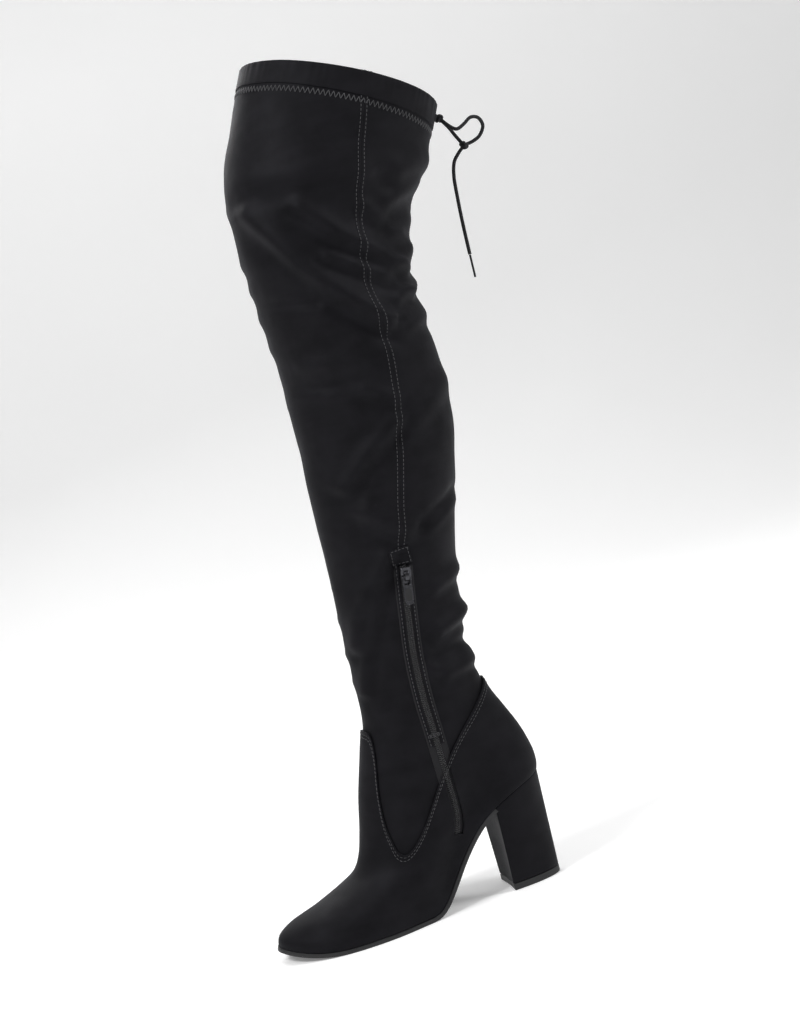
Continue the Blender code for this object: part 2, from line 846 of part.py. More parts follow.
# The pull tab hangs plumb from its hinge in the slider's crown
def make_pull(frame, material, collection, cutters):
    top = pull_thickness / 2
    size = (pull_width, pull_length + top, pull_thickness)
    item = block("zip_pull", size, (0, (top - pull_length) / 2, 0), material, collection)
    window_size = (pull_window_width, pull_window_length, cut_depth)
    window_middle = (0, -top - pull_window_length / 2, 0)
    window = block("pull_window", window_size, window_middle, None, cutters)
    tip = (0, -pull_length, 0)
    end = rod(
        "pull_end", pull_end_radius, pull_thickness, tip, upright, pull_end_facets, None, cutters
    )
    hang = atan2(-frame.col[2].z, frame.col[1].z)
    hinge = frame @ Matrix.Translation((0, 0, hinge_height)) @ Matrix.Rotation(-hang, 4, "X")
    for other, operation in ((end, "UNION"), (window, "DIFFERENCE")):
        hide_cutter(other)
        other.matrix_world = hinge
        combine(item, other, operation)
    item.matrix_world = hinge


# Points evenly spaced along a smooth curve through a route
def smooth_route(route, spacing):
    steps = 16
    points = [Vector(point) for point in route]
    dense = []
    for i in range(len(points) - 1):
        before = points[max(i - 1, 0)]
        after = points[min(i + 2, len(points) - 1)]
        start, end = points[i], points[i + 1]
        for step in range(steps):
            share = step / steps
            rest = 1 - share
            dense.append(
                start * (1 + 2 * share) * rest ** 2
                + end * (3 - 2 * share) * share ** 2
                + (end - before) / 2 * share * rest ** 2
                - (after - start) / 2 * rest * share ** 2
            )
    dense.append(points[-1])
    lengths = [0]
    for i in range(1, len(dense)):
        lengths.append(lengths[-1] + (dense[i] - dense[i - 1]).length)
    count = max(round(lengths[-1] / spacing), 2)
    chosen = []
    for step in range(count + 1):
        target = lengths[-1] * step / count
        i = min(max(j for j in range(len(dense)) if lengths[j] <= target), len(dense) - 2)
        share = (target - lengths[i]) / (lengths[i + 1] - lengths[i])
        chosen.append(dense[i].lerp(dense[i + 1], share))
    return chosen


def make_cord(name, route, diameter, material, collection):
    curve = bpy.data.curves.new(name, "CURVE")
    curve.dimensions = "3D"
    curve.bevel_depth = diameter / 2
    curve.bevel_resolution = 2
    curve.use_fill_caps = True
    points = smooth_route(route, cord_diameter * cord_spacing)
    spline = curve.splines.new("POLY")
    spline.points.add(len(points) - 1)
    for place, point in zip(spline.points, points):
        place.co = (*point, 1)
    item = bpy.data.objects.new(name, curve)
    collection.objects.link(item)
    curve.materials.append(material)


# Where a cord starts, clear of its knot and square to it
def off_knot(knot, toward):
    direction = (Vector(toward) - knot).normalized()
    return knot + direction * (knot_radius + seat_gap)


def make_knot(name, place, material, collection):
    mesh = bpy.data.meshes.new(name)
    edit = bmesh.new()
    bmesh.ops.create_uvsphere(
        edit, u_segments=knot_facets, v_segments=knot_rings, radius=knot_radius
    )
    edit.to_mesh(mesh)
    edit.free()
    mesh.shade_smooth()
    item = make_object(name, mesh, material, collection)
    item.location = place


def make_drawcord(material, tip_material, collection):
    make_knot("cord_knot_exit", exit_knot, material, collection)
    make_knot("cord_knot_bow", bow_knot, material, collection)
    loop = (
        off_knot(exit_knot, cord_loop_route[0]), *cord_loop_route,
        off_knot(bow_knot, cord_loop_route[-1]),
    )
    strand = (
        off_knot(exit_knot, cord_strand_route[0]), *cord_strand_route,
        off_knot(bow_knot, cord_strand_route[-1]),
    )
    end = (off_knot(bow_knot, cord_end_route[0]), *cord_end_route)
    make_cord("cord_loop", loop, cord_diameter, material, collection)
    make_cord("cord_strand", strand, cord_diameter, material, collection)
    make_cord("cord_end", end, cord_diameter, material, collection)
    start = Vector(cord_end_route[-1])
    start += (cord_tip_end - start).normalized() * seat_gap
    make_cord("cord_tip", (start, cord_tip_end), tip_diameter, tip_material, collection)


def main():
    for item in list(bpy.data.objects):
        bpy.data.objects.remove(item)
    boot = make_collection("thigh_high_boot")
    cutters = make_collection("cutters")
    suede = make_material("black_suede", (0.012, 0.011, 0.014), 0.92)
    rubber = make_material("black_rubber", (0.018, 0.018, 0.019), 0.55)
    lining = make_material("black_lining", (0.02, 0.02, 0.02), 0.8)
    coil = make_material("zip_coil", (0.03, 0.03, 0.032), 0.35, 0.2)
    metal = make_material("dark_metal", (0.16, 0.16, 0.17), 0.3, 1.0)
    cord = make_material("black_cord", (0.02, 0.019, 0.022), 0.8)
    make_outsole(rubber, boot, cutters)
    make_heel(suede, boot)
    make_top_lift(rubber, boot)
    make_insole(lining, boot)
    upper = make_upper(suede, boot)
    cut_zip_slot(upper, cutters)
    make_shaft(suede, boot)
    make_casing(suede, boot, cutters)
    make_zip(coil, boot)
    frame = slider_frame()
    make_slider(frame, metal, boot, cutters)
    make_pull(frame, metal, boot, cutters)
    make_drawcord(cord, metal, boot)


if __name__ == "__main__":
    main()
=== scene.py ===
# Looks of a thigh high boot for the right foot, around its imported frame.
# The toe points to -Y, the inner side with the zip is +X, and the floor is at z = 0. Metres.
import json
from collections import namedtuple
from math import atan2, cos, pi, radians, sin

import bmesh
import bpy
import numpy as np
from mathutils import Matrix, Vector, noise


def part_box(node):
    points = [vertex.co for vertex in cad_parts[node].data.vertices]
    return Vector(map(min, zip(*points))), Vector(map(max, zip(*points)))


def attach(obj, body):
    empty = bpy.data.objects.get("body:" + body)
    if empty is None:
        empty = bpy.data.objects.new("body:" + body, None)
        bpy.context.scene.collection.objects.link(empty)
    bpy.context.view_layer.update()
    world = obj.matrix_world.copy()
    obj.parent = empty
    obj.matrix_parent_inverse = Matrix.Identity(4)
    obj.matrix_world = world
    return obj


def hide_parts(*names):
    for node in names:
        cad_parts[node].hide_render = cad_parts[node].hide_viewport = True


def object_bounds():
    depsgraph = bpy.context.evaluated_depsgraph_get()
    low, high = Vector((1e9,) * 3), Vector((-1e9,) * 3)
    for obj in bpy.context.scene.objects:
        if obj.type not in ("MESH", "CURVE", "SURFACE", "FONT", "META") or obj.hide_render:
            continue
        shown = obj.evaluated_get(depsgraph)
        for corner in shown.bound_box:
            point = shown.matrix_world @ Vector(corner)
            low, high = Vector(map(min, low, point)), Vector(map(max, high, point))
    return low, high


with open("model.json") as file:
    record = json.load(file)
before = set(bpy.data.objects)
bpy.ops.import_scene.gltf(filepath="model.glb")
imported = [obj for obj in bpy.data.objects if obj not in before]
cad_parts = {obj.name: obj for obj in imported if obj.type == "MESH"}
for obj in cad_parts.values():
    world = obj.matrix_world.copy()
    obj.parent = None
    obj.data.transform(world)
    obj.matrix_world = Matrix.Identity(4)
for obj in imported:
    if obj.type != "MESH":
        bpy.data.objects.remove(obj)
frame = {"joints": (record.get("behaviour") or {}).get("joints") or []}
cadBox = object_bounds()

mm = 0.001
bootHeight = cadBox[1].z


def putInScene(name, data):
    thing = bpy.data.objects.new(name, data)
    bpy.context.scene.collection.objects.link(thing)
    return thing


# Camera
photoView = {
    "target": (0.03, -0.032, 0.312),
    "azimuth": -11.6,       # degrees from +X toward -Y, so the toe points a little to the camera
    "elevation": 4.0,
    "roll": -15.2,
    "distance": 1.46,
    "lens": 68.5,
}


def makeCamera():
    azimuth, elevation = radians(photoView["azimuth"]), radians(photoView["elevation"])
    roll = radians(photoView["roll"])
    back = Vector((cos(elevation) * cos(azimuth), cos(elevation) * sin(azimuth), sin(elevation)))
    level = (-back).cross(Vector((0, 0, 1))).normalized()
    upright = level.cross(-back)
    right = level * cos(roll) + upright * sin(roll)
    up = upright * cos(roll) - level * sin(roll)
    camera = putInScene("camera", bpy.data.cameras.new("camera"))
    camera.data.lens = photoView["lens"]
    turned = Matrix((right, up, back)).transposed().to_4x4()
    turned.translation = Vector(photoView["target"]) + back * photoView["distance"]
    camera.matrix_world = turned
    bpy.context.scene.camera = camera


makeCamera()
print("camera set")


# Shader sockets as numbers
class Wire:
    def __init__(self, finish, socket):
        self.finish = finish
        self.socket = socket

    def join(self, operation, first, second):
        return self.finish.add("ShaderNodeMath", {"operation": operation}, {0: first, 1: second})

    def __add__(self, other):
        return self.join("ADD", self, other)

    def __radd__(self, other):
        return self.join("ADD", other, self)

    def __sub__(self, other):
        return self.join("SUBTRACT", self, other)

    def __rsub__(self, other):
        return self.join("SUBTRACT", other, self)

    def __mul__(self, other):
        return self.join("MULTIPLY", self, other)

    def __rmul__(self, other):
        return self.join("MULTIPLY", other, self)


class Finish:
    def __init__(self, name):
        self.material = bpy.data.materials.new(name)
        self.material.use_nodes = True
        self.nodes = self.material.node_tree.nodes
        self.links = self.material.node_tree.links
        self.surface = self.nodes["Principled BSDF"]
        self.place = self.add("ShaderNodeTexCoord", out="Object")

    def put(self, node, key, value):
        if isinstance(value, Wire):
            self.links.new(value.socket, node.inputs[key])
        else:
            node.inputs[key].default_value = value

    def add(self, kind, settings=None, inputs=None, out=0):
        node = self.nodes.new(kind)
        for key, value in (settings or {}).items():
            if key == "stops":
                ramp = node.color_ramp
                while len(ramp.elements) < len(value):
                    ramp.elements.new(0.5)
                for element, (at, shade) in zip(ramp.elements, value):
                    element.position = at
                    element.color = (shade, shade, shade, 1)
            else:
                setattr(node, key, value)
        for key, value in (inputs or {}).items():
            self.put(node, key, value)
        return Wire(self, node.outputs[out])

    def speckle(self, scale, detail=2.0, place=None):
        values = {"Vector": place or self.place, "Scale": scale, "Detail": detail}
        return self.add("ShaderNodeTexNoise", {}, values, "Fac")

    def bands(self, scale, distortion):
        settings = {"wave_type": "BANDS", "bands_direction": "DIAGONAL"}
        values = {"Vector": self.place, "Scale": scale, "Distortion": distortion}
        return self.add("ShaderNodeTexWave", settings, values, "Fac")

    def ramp(self, value, *stops):
        return self.add("ShaderNodeValToRGB", {"stops": stops}, {"Fac": value}, "Color")

    def blend(self, share, first, second):
        settings = {"data_type": "RGBA"}
        return self.add("ShaderNodeMix", settings, {0: share, 6: first, 7: second}, 2)

    def bump(self, height, strength, distance):
        values = {"Height": height, "Strength": strength, "Distance": distance}
        return self.add("ShaderNodeBump", {}, values, "Normal")

    def set(self, **values):
        for key, value in values.items():
            self.put(self.surface, key.replace("_", " "), value)


def colour(red, green, blue):
    return (red, green, blue, 1)


suedeLook = {
    "dark": colour(0.0018, 0.0017, 0.0021),
    "light": colour(0.0068, 0.0065, 0.0079),
    "fibreScale": 1500,
    "napScale": 46,
    "tuftScale": 330,
    "brushScale": (22, 22, 90),
    "roughness": 0.59,
    "fibreRoughness": 0.18,
    "shadeRoughness": 0.05,
    "relief": 0.28 * mm,
    "reliefStrength": 0.35,
    "sheen": 0.02,
    "sheenRoughness": 0.4,
    "sheenTint": colour(0.72, 0.74, 0.95),
    "shine": 0.13,
    "shineTint": colour(0.90, 0.90, 1.0),
}
# the dark and the light colour of each other finish, and the thread's brightness
finishTones = {
    "rubber": (colour(0.009, 0.009, 0.010), colour(0.02, 0.02, 0.021)),
    "lining": (colour(0.006, 0.006, 0.007), colour(0.016, 0.0155, 0.018)),
    "metal": (colour(0.03, 0.03, 0.034), colour(0.09, 0.09, 0.098)),
    "coil": (colour(0.006, 0.006, 0.007), colour(0.018, 0.018, 0.02)),
    "braid": (colour(0.020, 0.0195, 0.023), colour(0.005, 0.005, 0.006)),
    "thread": 0.062,
    "darkThread": 0.030,
}


def makeSuede(name, lift=1.0):
    finish, look = Finish(name), suedeLook
    place = {0: finish.place, 1: look["brushScale"]}
    brushed = finish.add("ShaderNodeVectorMath", {"operation": "MULTIPLY"}, place)
    nap = finish.speckle(look["napScale"], 3.0)
    brush = finish.speckle(1.0, 3.0, brushed)
    fibre = finish.speckle(look["fibreScale"])
    tuft = finish.speckle(look["tuftScale"])
    shade = finish.ramp(nap * 0.6 + brush * 0.4, (0.36, 0.0), (0.68, 1.0))
    finish.set(
        Base_Color=finish.blend(shade * 0.7 + fibre * 0.3, look["dark"], look["light"]),
        Roughness=look["roughness"] + fibre * look["fibreRoughness"] - shade * look["shadeRoughness"],
        Normal=finish.bump(fibre * 0.55 + tuft * 0.45, look["reliefStrength"], look["relief"] * lift),
        Sheen_Weight=look["sheen"],
        Sheen_Roughness=look["sheenRoughness"],
        Sheen_Tint=look["sheenTint"],
        Specular_IOR_Level=look["shine"],
        Specular_Tint=look["shineTint"],
    )
    return finish.material


def makeRubber(name):
    finish = Finish(name)
    grain = finish.speckle(900, 2.0)
    scuff = finish.ramp(finish.speckle(60, 4.0), (0.45, 0.0), (0.75, 1.0))
    finish.set(
        Base_Color=finish.blend(scuff * 0.6, *finishTones["rubber"]),
        Roughness=0.42 + grain * 0.2 + scuff * 0.12,
        Normal=finish.bump(grain, 0.2, 0.0002),
        Specular_IOR_Level=0.45,
    )
    return finish.material


def makeLining(name):
    finish = Finish(name)
    weave = finish.bands(700.0, 1.2)
    finish.set(
        Base_Color=finish.blend(weave, *finishTones["lining"]),
        Roughness=0.75 + weave * 0.15,
        Normal=finish.bump(weave, 0.25, 0.0002),
        Specular_IOR_Level=0.25,
    )
    return finish.material


def makeThread(name):
    finish, tone = Finish(name), finishTones[name]
    ply = finish.bands(1500.0, 0.5)
    dark = colour(tone * 0.5, tone * 0.5, tone * 0.55)
    finish.set(
        Base_Color=finish.blend(ply, dark, colour(tone, tone, tone * 1.08)),
        Roughness=0.5 + ply * 0.15,
        Normal=finish.bump(ply, 0.3, 0.0001),
    )
    return finish.material


def makeMetal(name):
    finish = Finish(name)
    wear = finish.speckle(420, 4.0)
    finish.set(
        Base_Color=finish.blend(wear, *finishTones["metal"]),
        Metallic=1.0,
        Roughness=0.20 + wear * 0.22,
        Normal=finish.bump(wear, 0.1, 0.0001),
    )
    return finish.material


def makeCoil(name):
    finish = Finish(name)
    grain = finish.speckle(900, 2.0)
    finish.set(
        Base_Color=finish.blend(grain, *finishTones["coil"]),
        Roughness=0.2 + grain * 0.2,
        Specular_IOR_Level=0.55,
        Normal=finish.bump(grain, 0.1, 0.0001),
    )
    return finish.material


def makeBraid(name):
    finish = Finish(name)
    strands = finish.add(
        "ShaderNodeTexVoronoi", {"feature": "F1"}, {"Vector": finish.place, "Scale": 950.0}, "Distance",
    )
    finish.set(
        Base_Color=finish.blend(strands, *finishTones["braid"]),
        Roughness=0.62 + strands * 0.2,
        Normal=finish.bump(1.0 - strands, 0.6, 0.0004),
        Sheen_Weight=0.04,
        Specular_IOR_Level=0.25,
    )
    return finish.material


suede = makeSuede("suede")
heelSuede = makeSuede("heelSuede", 0.8)
rubber = makeRubber("rubber")
lining = makeLining("lining")
thread = makeThread("thread")
darkThread = makeThread("darkThread")
gunmetal = makeMetal("gunmetal")
coilNylon = makeCoil("coilNylon")
braid = makeBraid("braid")
print("finishes made")

# The boot's skin: levels from the sole's edge, 0, to the collar, and turns round the leg
skinSizes = {
    "footLength": 227 * mm,
    "heelLength": 43 * mm,
    "ballStart": 112 * mm,
    "toeBreak": 180 * mm,
    "heelHeight": 83.5 * mm,
    "toeSpring": 8 * mm,
    "soleThickness": 3.2 * mm,
    "ballWidth": 83 * mm,
    "ankleWidth": 68 * mm,
    "calfWidth": 102 * mm,
    "kneeWidth": 125 * mm,
    "collarWidth": 146 * mm,
}
footLength = skinSizes["footLength"]
heelLength = skinSizes["heelLength"]


class Table:
    # rows with named columns, read on a smooth curve through them
    def __init__(self, names, rows, softEnds=False):
        columns = np.array(rows, float).T
        self.columns = dict(zip(names.split(), columns))
        self.keys = columns[0]
        self.softEnds = softEnds

    def at(self, name, place):
        keys, values = self.keys, self.columns[name]
        place = np.clip(place, keys[0], keys[-1])
        row = np.clip(np.searchsorted(keys, place, "right") - 1, 0, len(keys) - 2)
        index = np.arange(len(keys))
        low, high = np.maximum(index - 1, 0), np.minimum(index + 1, len(keys) - 1)
        run = keys[high] - keys[low]
        if self.softEnds:
            run = np.full(len(keys), 2.0)
        slopes = (values[high] - values[low]) / run
        span = keys[row + 1] - keys[row]
        share = (place - keys[row]) / span
        rest = 1 - share
        return (
            values[row] * (1 + 2 * share) * rest ** 2
            + values[row + 1] * (3 - 2 * share) * share ** 2
            + slopes[row] * span * share * rest ** 2
            - slopes[row + 1] * span * rest * share ** 2
        )


arch = Table("reach rise", (
    (0.00, 0.000), (0.06, 0.022), (0.12, 0.085), (0.20, 0.215), (0.30, 0.400),
    (0.40, 0.565), (0.50, 0.700), (0.62, 0.815), (0.80, 0.925), (1.00, 1.000),
))

outline = Table("along inner outer swing", (
    (0.00, 1.20, 1.20, 0.000), (0.05, 1.16, 1.16, 0.000), (0.11, 1.05, 1.05, 0.000),
    (0.20, 0.84, 0.86, 0.000), (0.29, 0.67, 0.78, -0.010), (0.40, 0.64, 0.79, -0.020),
    (0.51, 0.80, 0.88, -0.020), (0.62, 0.99, 1.00, -0.010), (0.70, 1.09, 1.09, 0.000),
    (0.79, 1.17, 1.15, 0.020), (0.87, 1.20, 1.19, 0.040), (0.94, 1.18, 1.20, 0.060),
    (1.00, 1.12, 1.16, 0.075),
))

sections = Table("level frontForward frontUp backForward backUp soleLike gather", (
    (0, 1.000, 0.0000, -0.004, 0.0000, 1.00, 0.00),
    (1, 0.989, 0.0104, -0.009, 0.0086, 0.97, 0.06),
    (2, 0.943, 0.0196, -0.010, 0.0180, 0.92, 0.12),
    (3, 0.863, 0.0273, -0.008, 0.0276, 0.85, 0.17),
    (4, 0.780, 0.0373, -0.002, 0.0388, 0.74, 0.21),
    (5, 0.700, 0.0511, 0.007, 0.0526, 0.60, 0.24),
    (6, 0.659, 0.0703, 0.020, 0.0673, 0.46, 0.25),
    (7, 0.630, 0.1010, 0.037, 0.0828, 0.32, 0.23),
    (8, 0.601, 0.1424, 0.057, 0.1000, 0.19, 0.19),
    (9, 0.562, 0.1853, 0.079, 0.1200, 0.08, 0.14),
    (10, 0.531, 0.2222, 0.097, 0.1458, 0.00, 0.09),
    (11, 0.522, 0.2590, 0.106, 0.1820, 0.00, 0.05),
    (12, 0.520, 0.3081, 0.097, 0.2226, 0.00, 0.02),
    (13, 0.513, 0.3587, 0.088, 0.2666, 0.00, 0.00),
    (14, 0.507, 0.4093, 0.062, 0.3184, 0.00, 0.00),
    (15, 0.504, 0.4584, 0.026, 0.3736, 0.00, 0.00),
    (16, 0.498, 0.5091, -0.013, 0.4288, 0.00, 0.00),
    (17, 0.491, 0.5566, -0.044, 0.4806, 0.00, 0.00),
    (18, 0.489, 0.6057, -0.056, 0.5323, 0.00, 0.00),
    (19, 0.487, 0.6548, -0.050, 0.5807, 0.00, 0.00),
    (20, 0.498, 0.7039, -0.040, 0.6324, 0.00, 0.00),
    (21, 0.507, 0.7530, -0.037, 0.6808, 0.00, 0.00),
    (22, 0.513, 0.8021, -0.057, 0.7291, 0.00, 0.00),
    (23, 0.509, 0.8481, -0.106, 0.7739, 0.00, 0.00),
    (24, 0.483, 0.8926, -0.167, 0.8154, 0.00, 0.00),
    (25, 0.436, 0.9294, -0.216, 0.8481, 0.00, 0.00),
    (26, 0.388, 0.9662, -0.247, 0.8723, 0.00, 0.00),
    (27, 0.339, 1.0000, -0.269, 0.8913, 0.00, 0.00),
), softEnds=True)
topLevel = 27.0

girths = Table("level width", (
    (0, skinSizes["ballWidth"]),
    (1, skinSizes["ballWidth"] * 1.015),
    (3, skinSizes["ballWidth"] * 0.965),
    (5, skinSizes["ballWidth"] * 0.905),
    (8, skinSizes["ballWidth"] * 0.850),
    (11, skinSizes["ankleWidth"]),
    (13, skinSizes["ankleWidth"] * 1.12),
    (16, skinSizes["calfWidth"]),
    (20.5, skinSizes["kneeWidth"]),
    (24, skinSizes["collarWidth"] * 0.945),
    (27, skinSizes["collarWidth"]),
))

footEdge = Table("along inner outer", (
    (0.00, 9.80, 9.8), (0.10, 9.20, 9.2), (0.18, 8.70, 8.7), (0.26, 8.20, 8.1),
    (0.33, 7.75, 7.6), (0.41, 7.25, 7.1), (0.50, 6.60, 6.4), (0.58, 6.05, 5.8),
    (0.66, 5.55, 5.4), (0.72, 5.75, 5.6), (0.78, 6.40, 6.3), (0.85, 7.40, 7.3),
    (0.91, 9.00, 8.9), (0.95, 9.60, 9.6), (1.00, 9.80, 9.8),
))

zipLine = Table("up forward", (
    (0.200, 0.346), (0.260, 0.326), (0.370, 0.326), (0.520, 0.330),
    (0.620, 0.333), (0.740, 0.328), (0.880, 0.309), (1.000, 0.290),
))

# Folds over the leg, as seen from the side: forward from the heel's back and up, in millimetres.
# Side is 1 inner, -1 outer, 0 both. Each ridge has a softer trough on its lower side.
Fold = namedtuple("Fold", "side points width lift")
folds = (
    Fold(0, ((-36, 560), (-8, 556)), 10, 2.6),
    Fold(0, ((-26, 545), (6, 536)), 6, 1.7),
    Fold(0, ((-17, 529), (14, 518)), 6, -1.6),
    Fold(0, ((-8, 495), (22, 486)), 6.5, 1.9),
    Fold(0, ((-12, 475), (18, 464)), 5.5, 1.7),
    Fold(0, ((-12, 450), (22, 440)), 6.5, 1.5),
    Fold(0, ((14, 254), (44, 246)), 5.5, 1.7),
    Fold(0, ((18, 222), (50, 214)), 6.5, 3.2),
    Fold(0, ((24, 198), (56, 194)), 6, -2.2),
    Fold(0, ((26, 182), (52, 179)), 5, 1.6),
    Fold(1, ((108, 552), (96, 532), (82, 505), (69, 487), (49, 467), (31, 450)), 8, 4.0),
    Fold(1, ((74, 546), (50, 519), (31, 505), (4, 484)), 6.5, 2.8),
    Fold(1, ((27, 535), (-4, 501)), 6, 1.9),
    Fold(1, ((63, 506), (31, 485), (3, 466)), 5, 1.8),
    Fold(1, ((111, 579), (70, 570), (24, 560)), 11, 1.3),
    Fold(1, ((117, 486), (80, 475)), 4.5, -1.1),
    Fold(1, ((98, 434), (62, 425)), 7, 1.2),
    Fold(1, ((113, 421), (67, 409)), 4.5, -1.1),
    Fold(1, ((66, 409), (42, 391)), 6, 1.5),
    Fold(1, ((45, 377), (73, 356), (92, 338)), 7, 2.4),
    Fold(1, ((82, 315), (57, 295)), 8, 2.3),
    Fold(1, ((76, 279), (92, 260), (108, 236), (113, 218)), 6, 2.6),
    Fold(1, ((80, 264), (94, 238), (107, 209), (116, 182)), 5, 2.1),
    Fold(1, ((8, 312), (42, 295)), 4.5, -1.8),
    Fold(1, ((-6, 395), (30, 372)), 9, 1.2),
    Fold(1, ((60, 640), (20, 600)), 14, 1.0),
    Fold(-1, ((110, 560), (60, 538), (20, 520)), 9, 2.6),
    Fold(-1, ((116, 520), (60, 505), (10, 500)), 7, 2.4),
    Fold(-1, ((118, 500), (50, 480)), 6.5, 2.2),
    Fold(-1, ((114, 476), (55, 462)), 6, 2.0),
    Fold(-1, ((110, 452), (40, 438)), 7, 1.8),
    Fold(-1, ((100, 405), (30, 388)), 8, 1.5),
    Fold(-1, ((8, 350), (60, 322)), 9, 1.5),
    Fold(-1, ((108, 262), (60, 252)), 6, 1.8),
    Fold(-1, ((112, 236), (58, 226)), 6, 2.3),
    Fold(-1, ((116, 210), (58, 202)), 5.5, 2.2),
    Fold(-1, ((118, 188), (64, 184)), 5, 1.7),
    Fold(-1, ((60, 640), (10, 590)), 14, 1.1),
)
foldShape = {
    "sideFade": 1.5,        # how fast a one-sided fold fades toward the front and the back
    "reach": 2.6,           # in widths of the fold, as are the trough's place and width
    "troughPlace": 1.6,
    "troughWidth": 0.9,
    "troughDepth": 0.6,
    "side": 1.75,           # gains round the leg, and how far the front's and the back's reach
    "front": 0.35,
    "frontReach": 0.5,
    "back": 1.5,
    "backReach": 0.8,
}
ripple = {
    "scale": 34.0,
    "height": 0.55 * mm,
    "fineScale": 95.0,
    "fineHeight": 0.16 * mm,
    "onFoot": 0.35,         # share of it on the firm foot piece
    "footLevel": 7.0,
    "legLevel": 11.0,
}


def mix(low, high, share):
    return low + (high - low) * share


def unit(vectors):
    return vectors / np.linalg.norm(vectors, axis=-1, keepdims=True)


def bedHeight(forward):
    forward = np.asarray(forward, float)
    toeBreak, ballStart = skinSizes["toeBreak"], skinSizes["ballStart"]
    sole = skinSizes["soleThickness"]
    toe = np.clip((forward - toeBreak) / (footLength - toeBreak), 0, 2)
    rise = arch.at("rise", 1 - forward / ballStart)
    back = sole + (skinSizes["heelHeight"] - sole) * rise
    return np.where(forward > ballStart, sole + skinSizes["toeSpring"] * toe ** 2, back)


def heightOverBed(forward, gap):
    step = 1 * mm
    slope = (bedHeight(forward + step) - bedHeight(forward - step)) / (2 * step)
    return bedHeight(forward) + gap * np.sqrt(1 + slope ** 2)


def worldPoint(across, forward, up):
    across, forward, up = np.broadcast_arrays(across, forward, up)
    return np.stack([across, heelLength / 2 - forward, up], -1)


soleBack = sections.columns["backForward"][0] * footLength
soleFront = sections.columns["frontForward"][0] * footLength
backBed, frontBed = float(bedHeight(soleBack)), float(bedHeight(soleFront))


def archSag(forward):
    straight = mix(backBed, frontBed, (forward - soleBack) / (soleFront - soleBack))
    return bedHeight(forward) - straight


def sidePlace(level, along):
    back = sections.at("backForward", level) * footLength
    front = sections.at("frontForward", level) * footLength
    backUp = mix(backBed, bootHeight, sections.at("backUp", level))
    frontUp = mix(frontBed, bootHeight, sections.at("frontUp", level))
    forward = mix(back, front, along)
    sag = archSag(forward) - mix(archSag(back), archSag(front), along)
    return forward, mix(backUp, frontUp, along) + sag * sections.at("soleLike", level)


def gathered(level, turn):
    return turn - sections.at("gather", level) * np.sin(turn)


def plainSkin(level, turn):
    angle = gathered(level, turn)
    along = (1 + np.cos(angle)) / 2
    forward, up = sidePlace(level, along)
    soleLike = sections.at("soleLike", level)
    halfWidth = girths.at("width", level) / 2
    inner = np.sin(angle) > 0
    shape = np.where(inner, outline.at("inner", along), outline.at("outer", along))
    shape = mix(1, shape, soleLike)
    swing = outline.at("swing", along) * soleLike
    return worldPoint(halfWidth * (swing + shape * np.sin(angle)), forward, up)


def skinNormal(level, turn):
    turnStep, levelStep = 0.02, 0.05
    low, high = np.maximum(level - levelStep, 0), np.minimum(level + levelStep, topLevel)
    around = plainSkin(level, turn + turnStep) - plainSkin(level, turn - turnStep)
    upward = plainSkin(high, turn) - plainSkin(low, turn)
    return unit(np.cross(around, upward))


# How far the folds lift the skin, with both sides fading into each other at front and back
def foldLift(level, turn):
    forward, up = sidePlace(level, (1 + np.cos(gathered(level, turn))) / 2)
    place = np.stack([forward, up], -1)
    lift = np.zeros(place.shape[:-1])
    shape = foldShape
    for fold in folds:
        points = np.array(fold.points, float) * mm
        near = np.full(lift.shape, np.inf)
        signed = near.copy()
        for start, end in zip(points[:-1], points[1:]):
            run = end - start
            share = np.clip(((place - start) @ run) / (run @ run), 0, 1)
            gap = place - start - share[..., None] * run
            far = np.linalg.norm(gap, axis=-1)
            side = np.where(gap[..., 1] > 0, -1, 1)   # below the fold is positive
            signed = np.where(far < near, far * side, signed)
            near = np.minimum(far, near)
        width = fold.width * mm
        ridge = np.exp(-(near / width) ** 2)
        reach = np.exp(-(near / (width * shape["reach"])) ** 2)
        below = (signed - width * shape["troughPlace"]) / (width * shape["troughWidth"])
        trough = np.exp(-below ** 2) * reach
        fade = np.clip(0.5 + fold.side * np.sin(turn) * shape["sideFade"], 0, 1) if fold.side else 1.0
        lift += fold.lift * mm * (ridge - shape["troughDepth"] * trough) * fade ** 2 * (3 - 2 * fade)
    away = np.minimum(turn % (2 * pi), 2 * pi - turn % (2 * pi))
    gain = mix(shape["side"], shape["front"], np.exp(-(away / shape["frontReach"]) ** 2))
    return lift * (gain + (shape["back"] - shape["side"]) * np.exp(-((pi - away) / shape["backReach"]) ** 2))


def rippleLift(points):
    flat = points.reshape(-1, 3)
    lifts = [
        noise.noise(Vector(point) * ripple["scale"]) * ripple["height"]
        + noise.noise(Vector(point) * ripple["fineScale"]) * ripple["fineHeight"]
        for point in flat
    ]
    return np.array(lifts).reshape(points.shape[:-1])


def skin(level, turn, proud=0.0):
    level, turn = np.broadcast_arrays(np.asarray(level, float), np.asarray(turn, float))
    plain = plainSkin(level, turn)
    onLeg = np.clip((level - ripple["footLevel"]) / (ripple["legLevel"] - ripple["footLevel"]), 0, 1)
    lift = foldLift(level, turn) + rippleLift(plain) * mix(ripple["onFoot"], 1.0, onLeg) + proud
    return plain + skinNormal(level, turn) * lift[..., None]


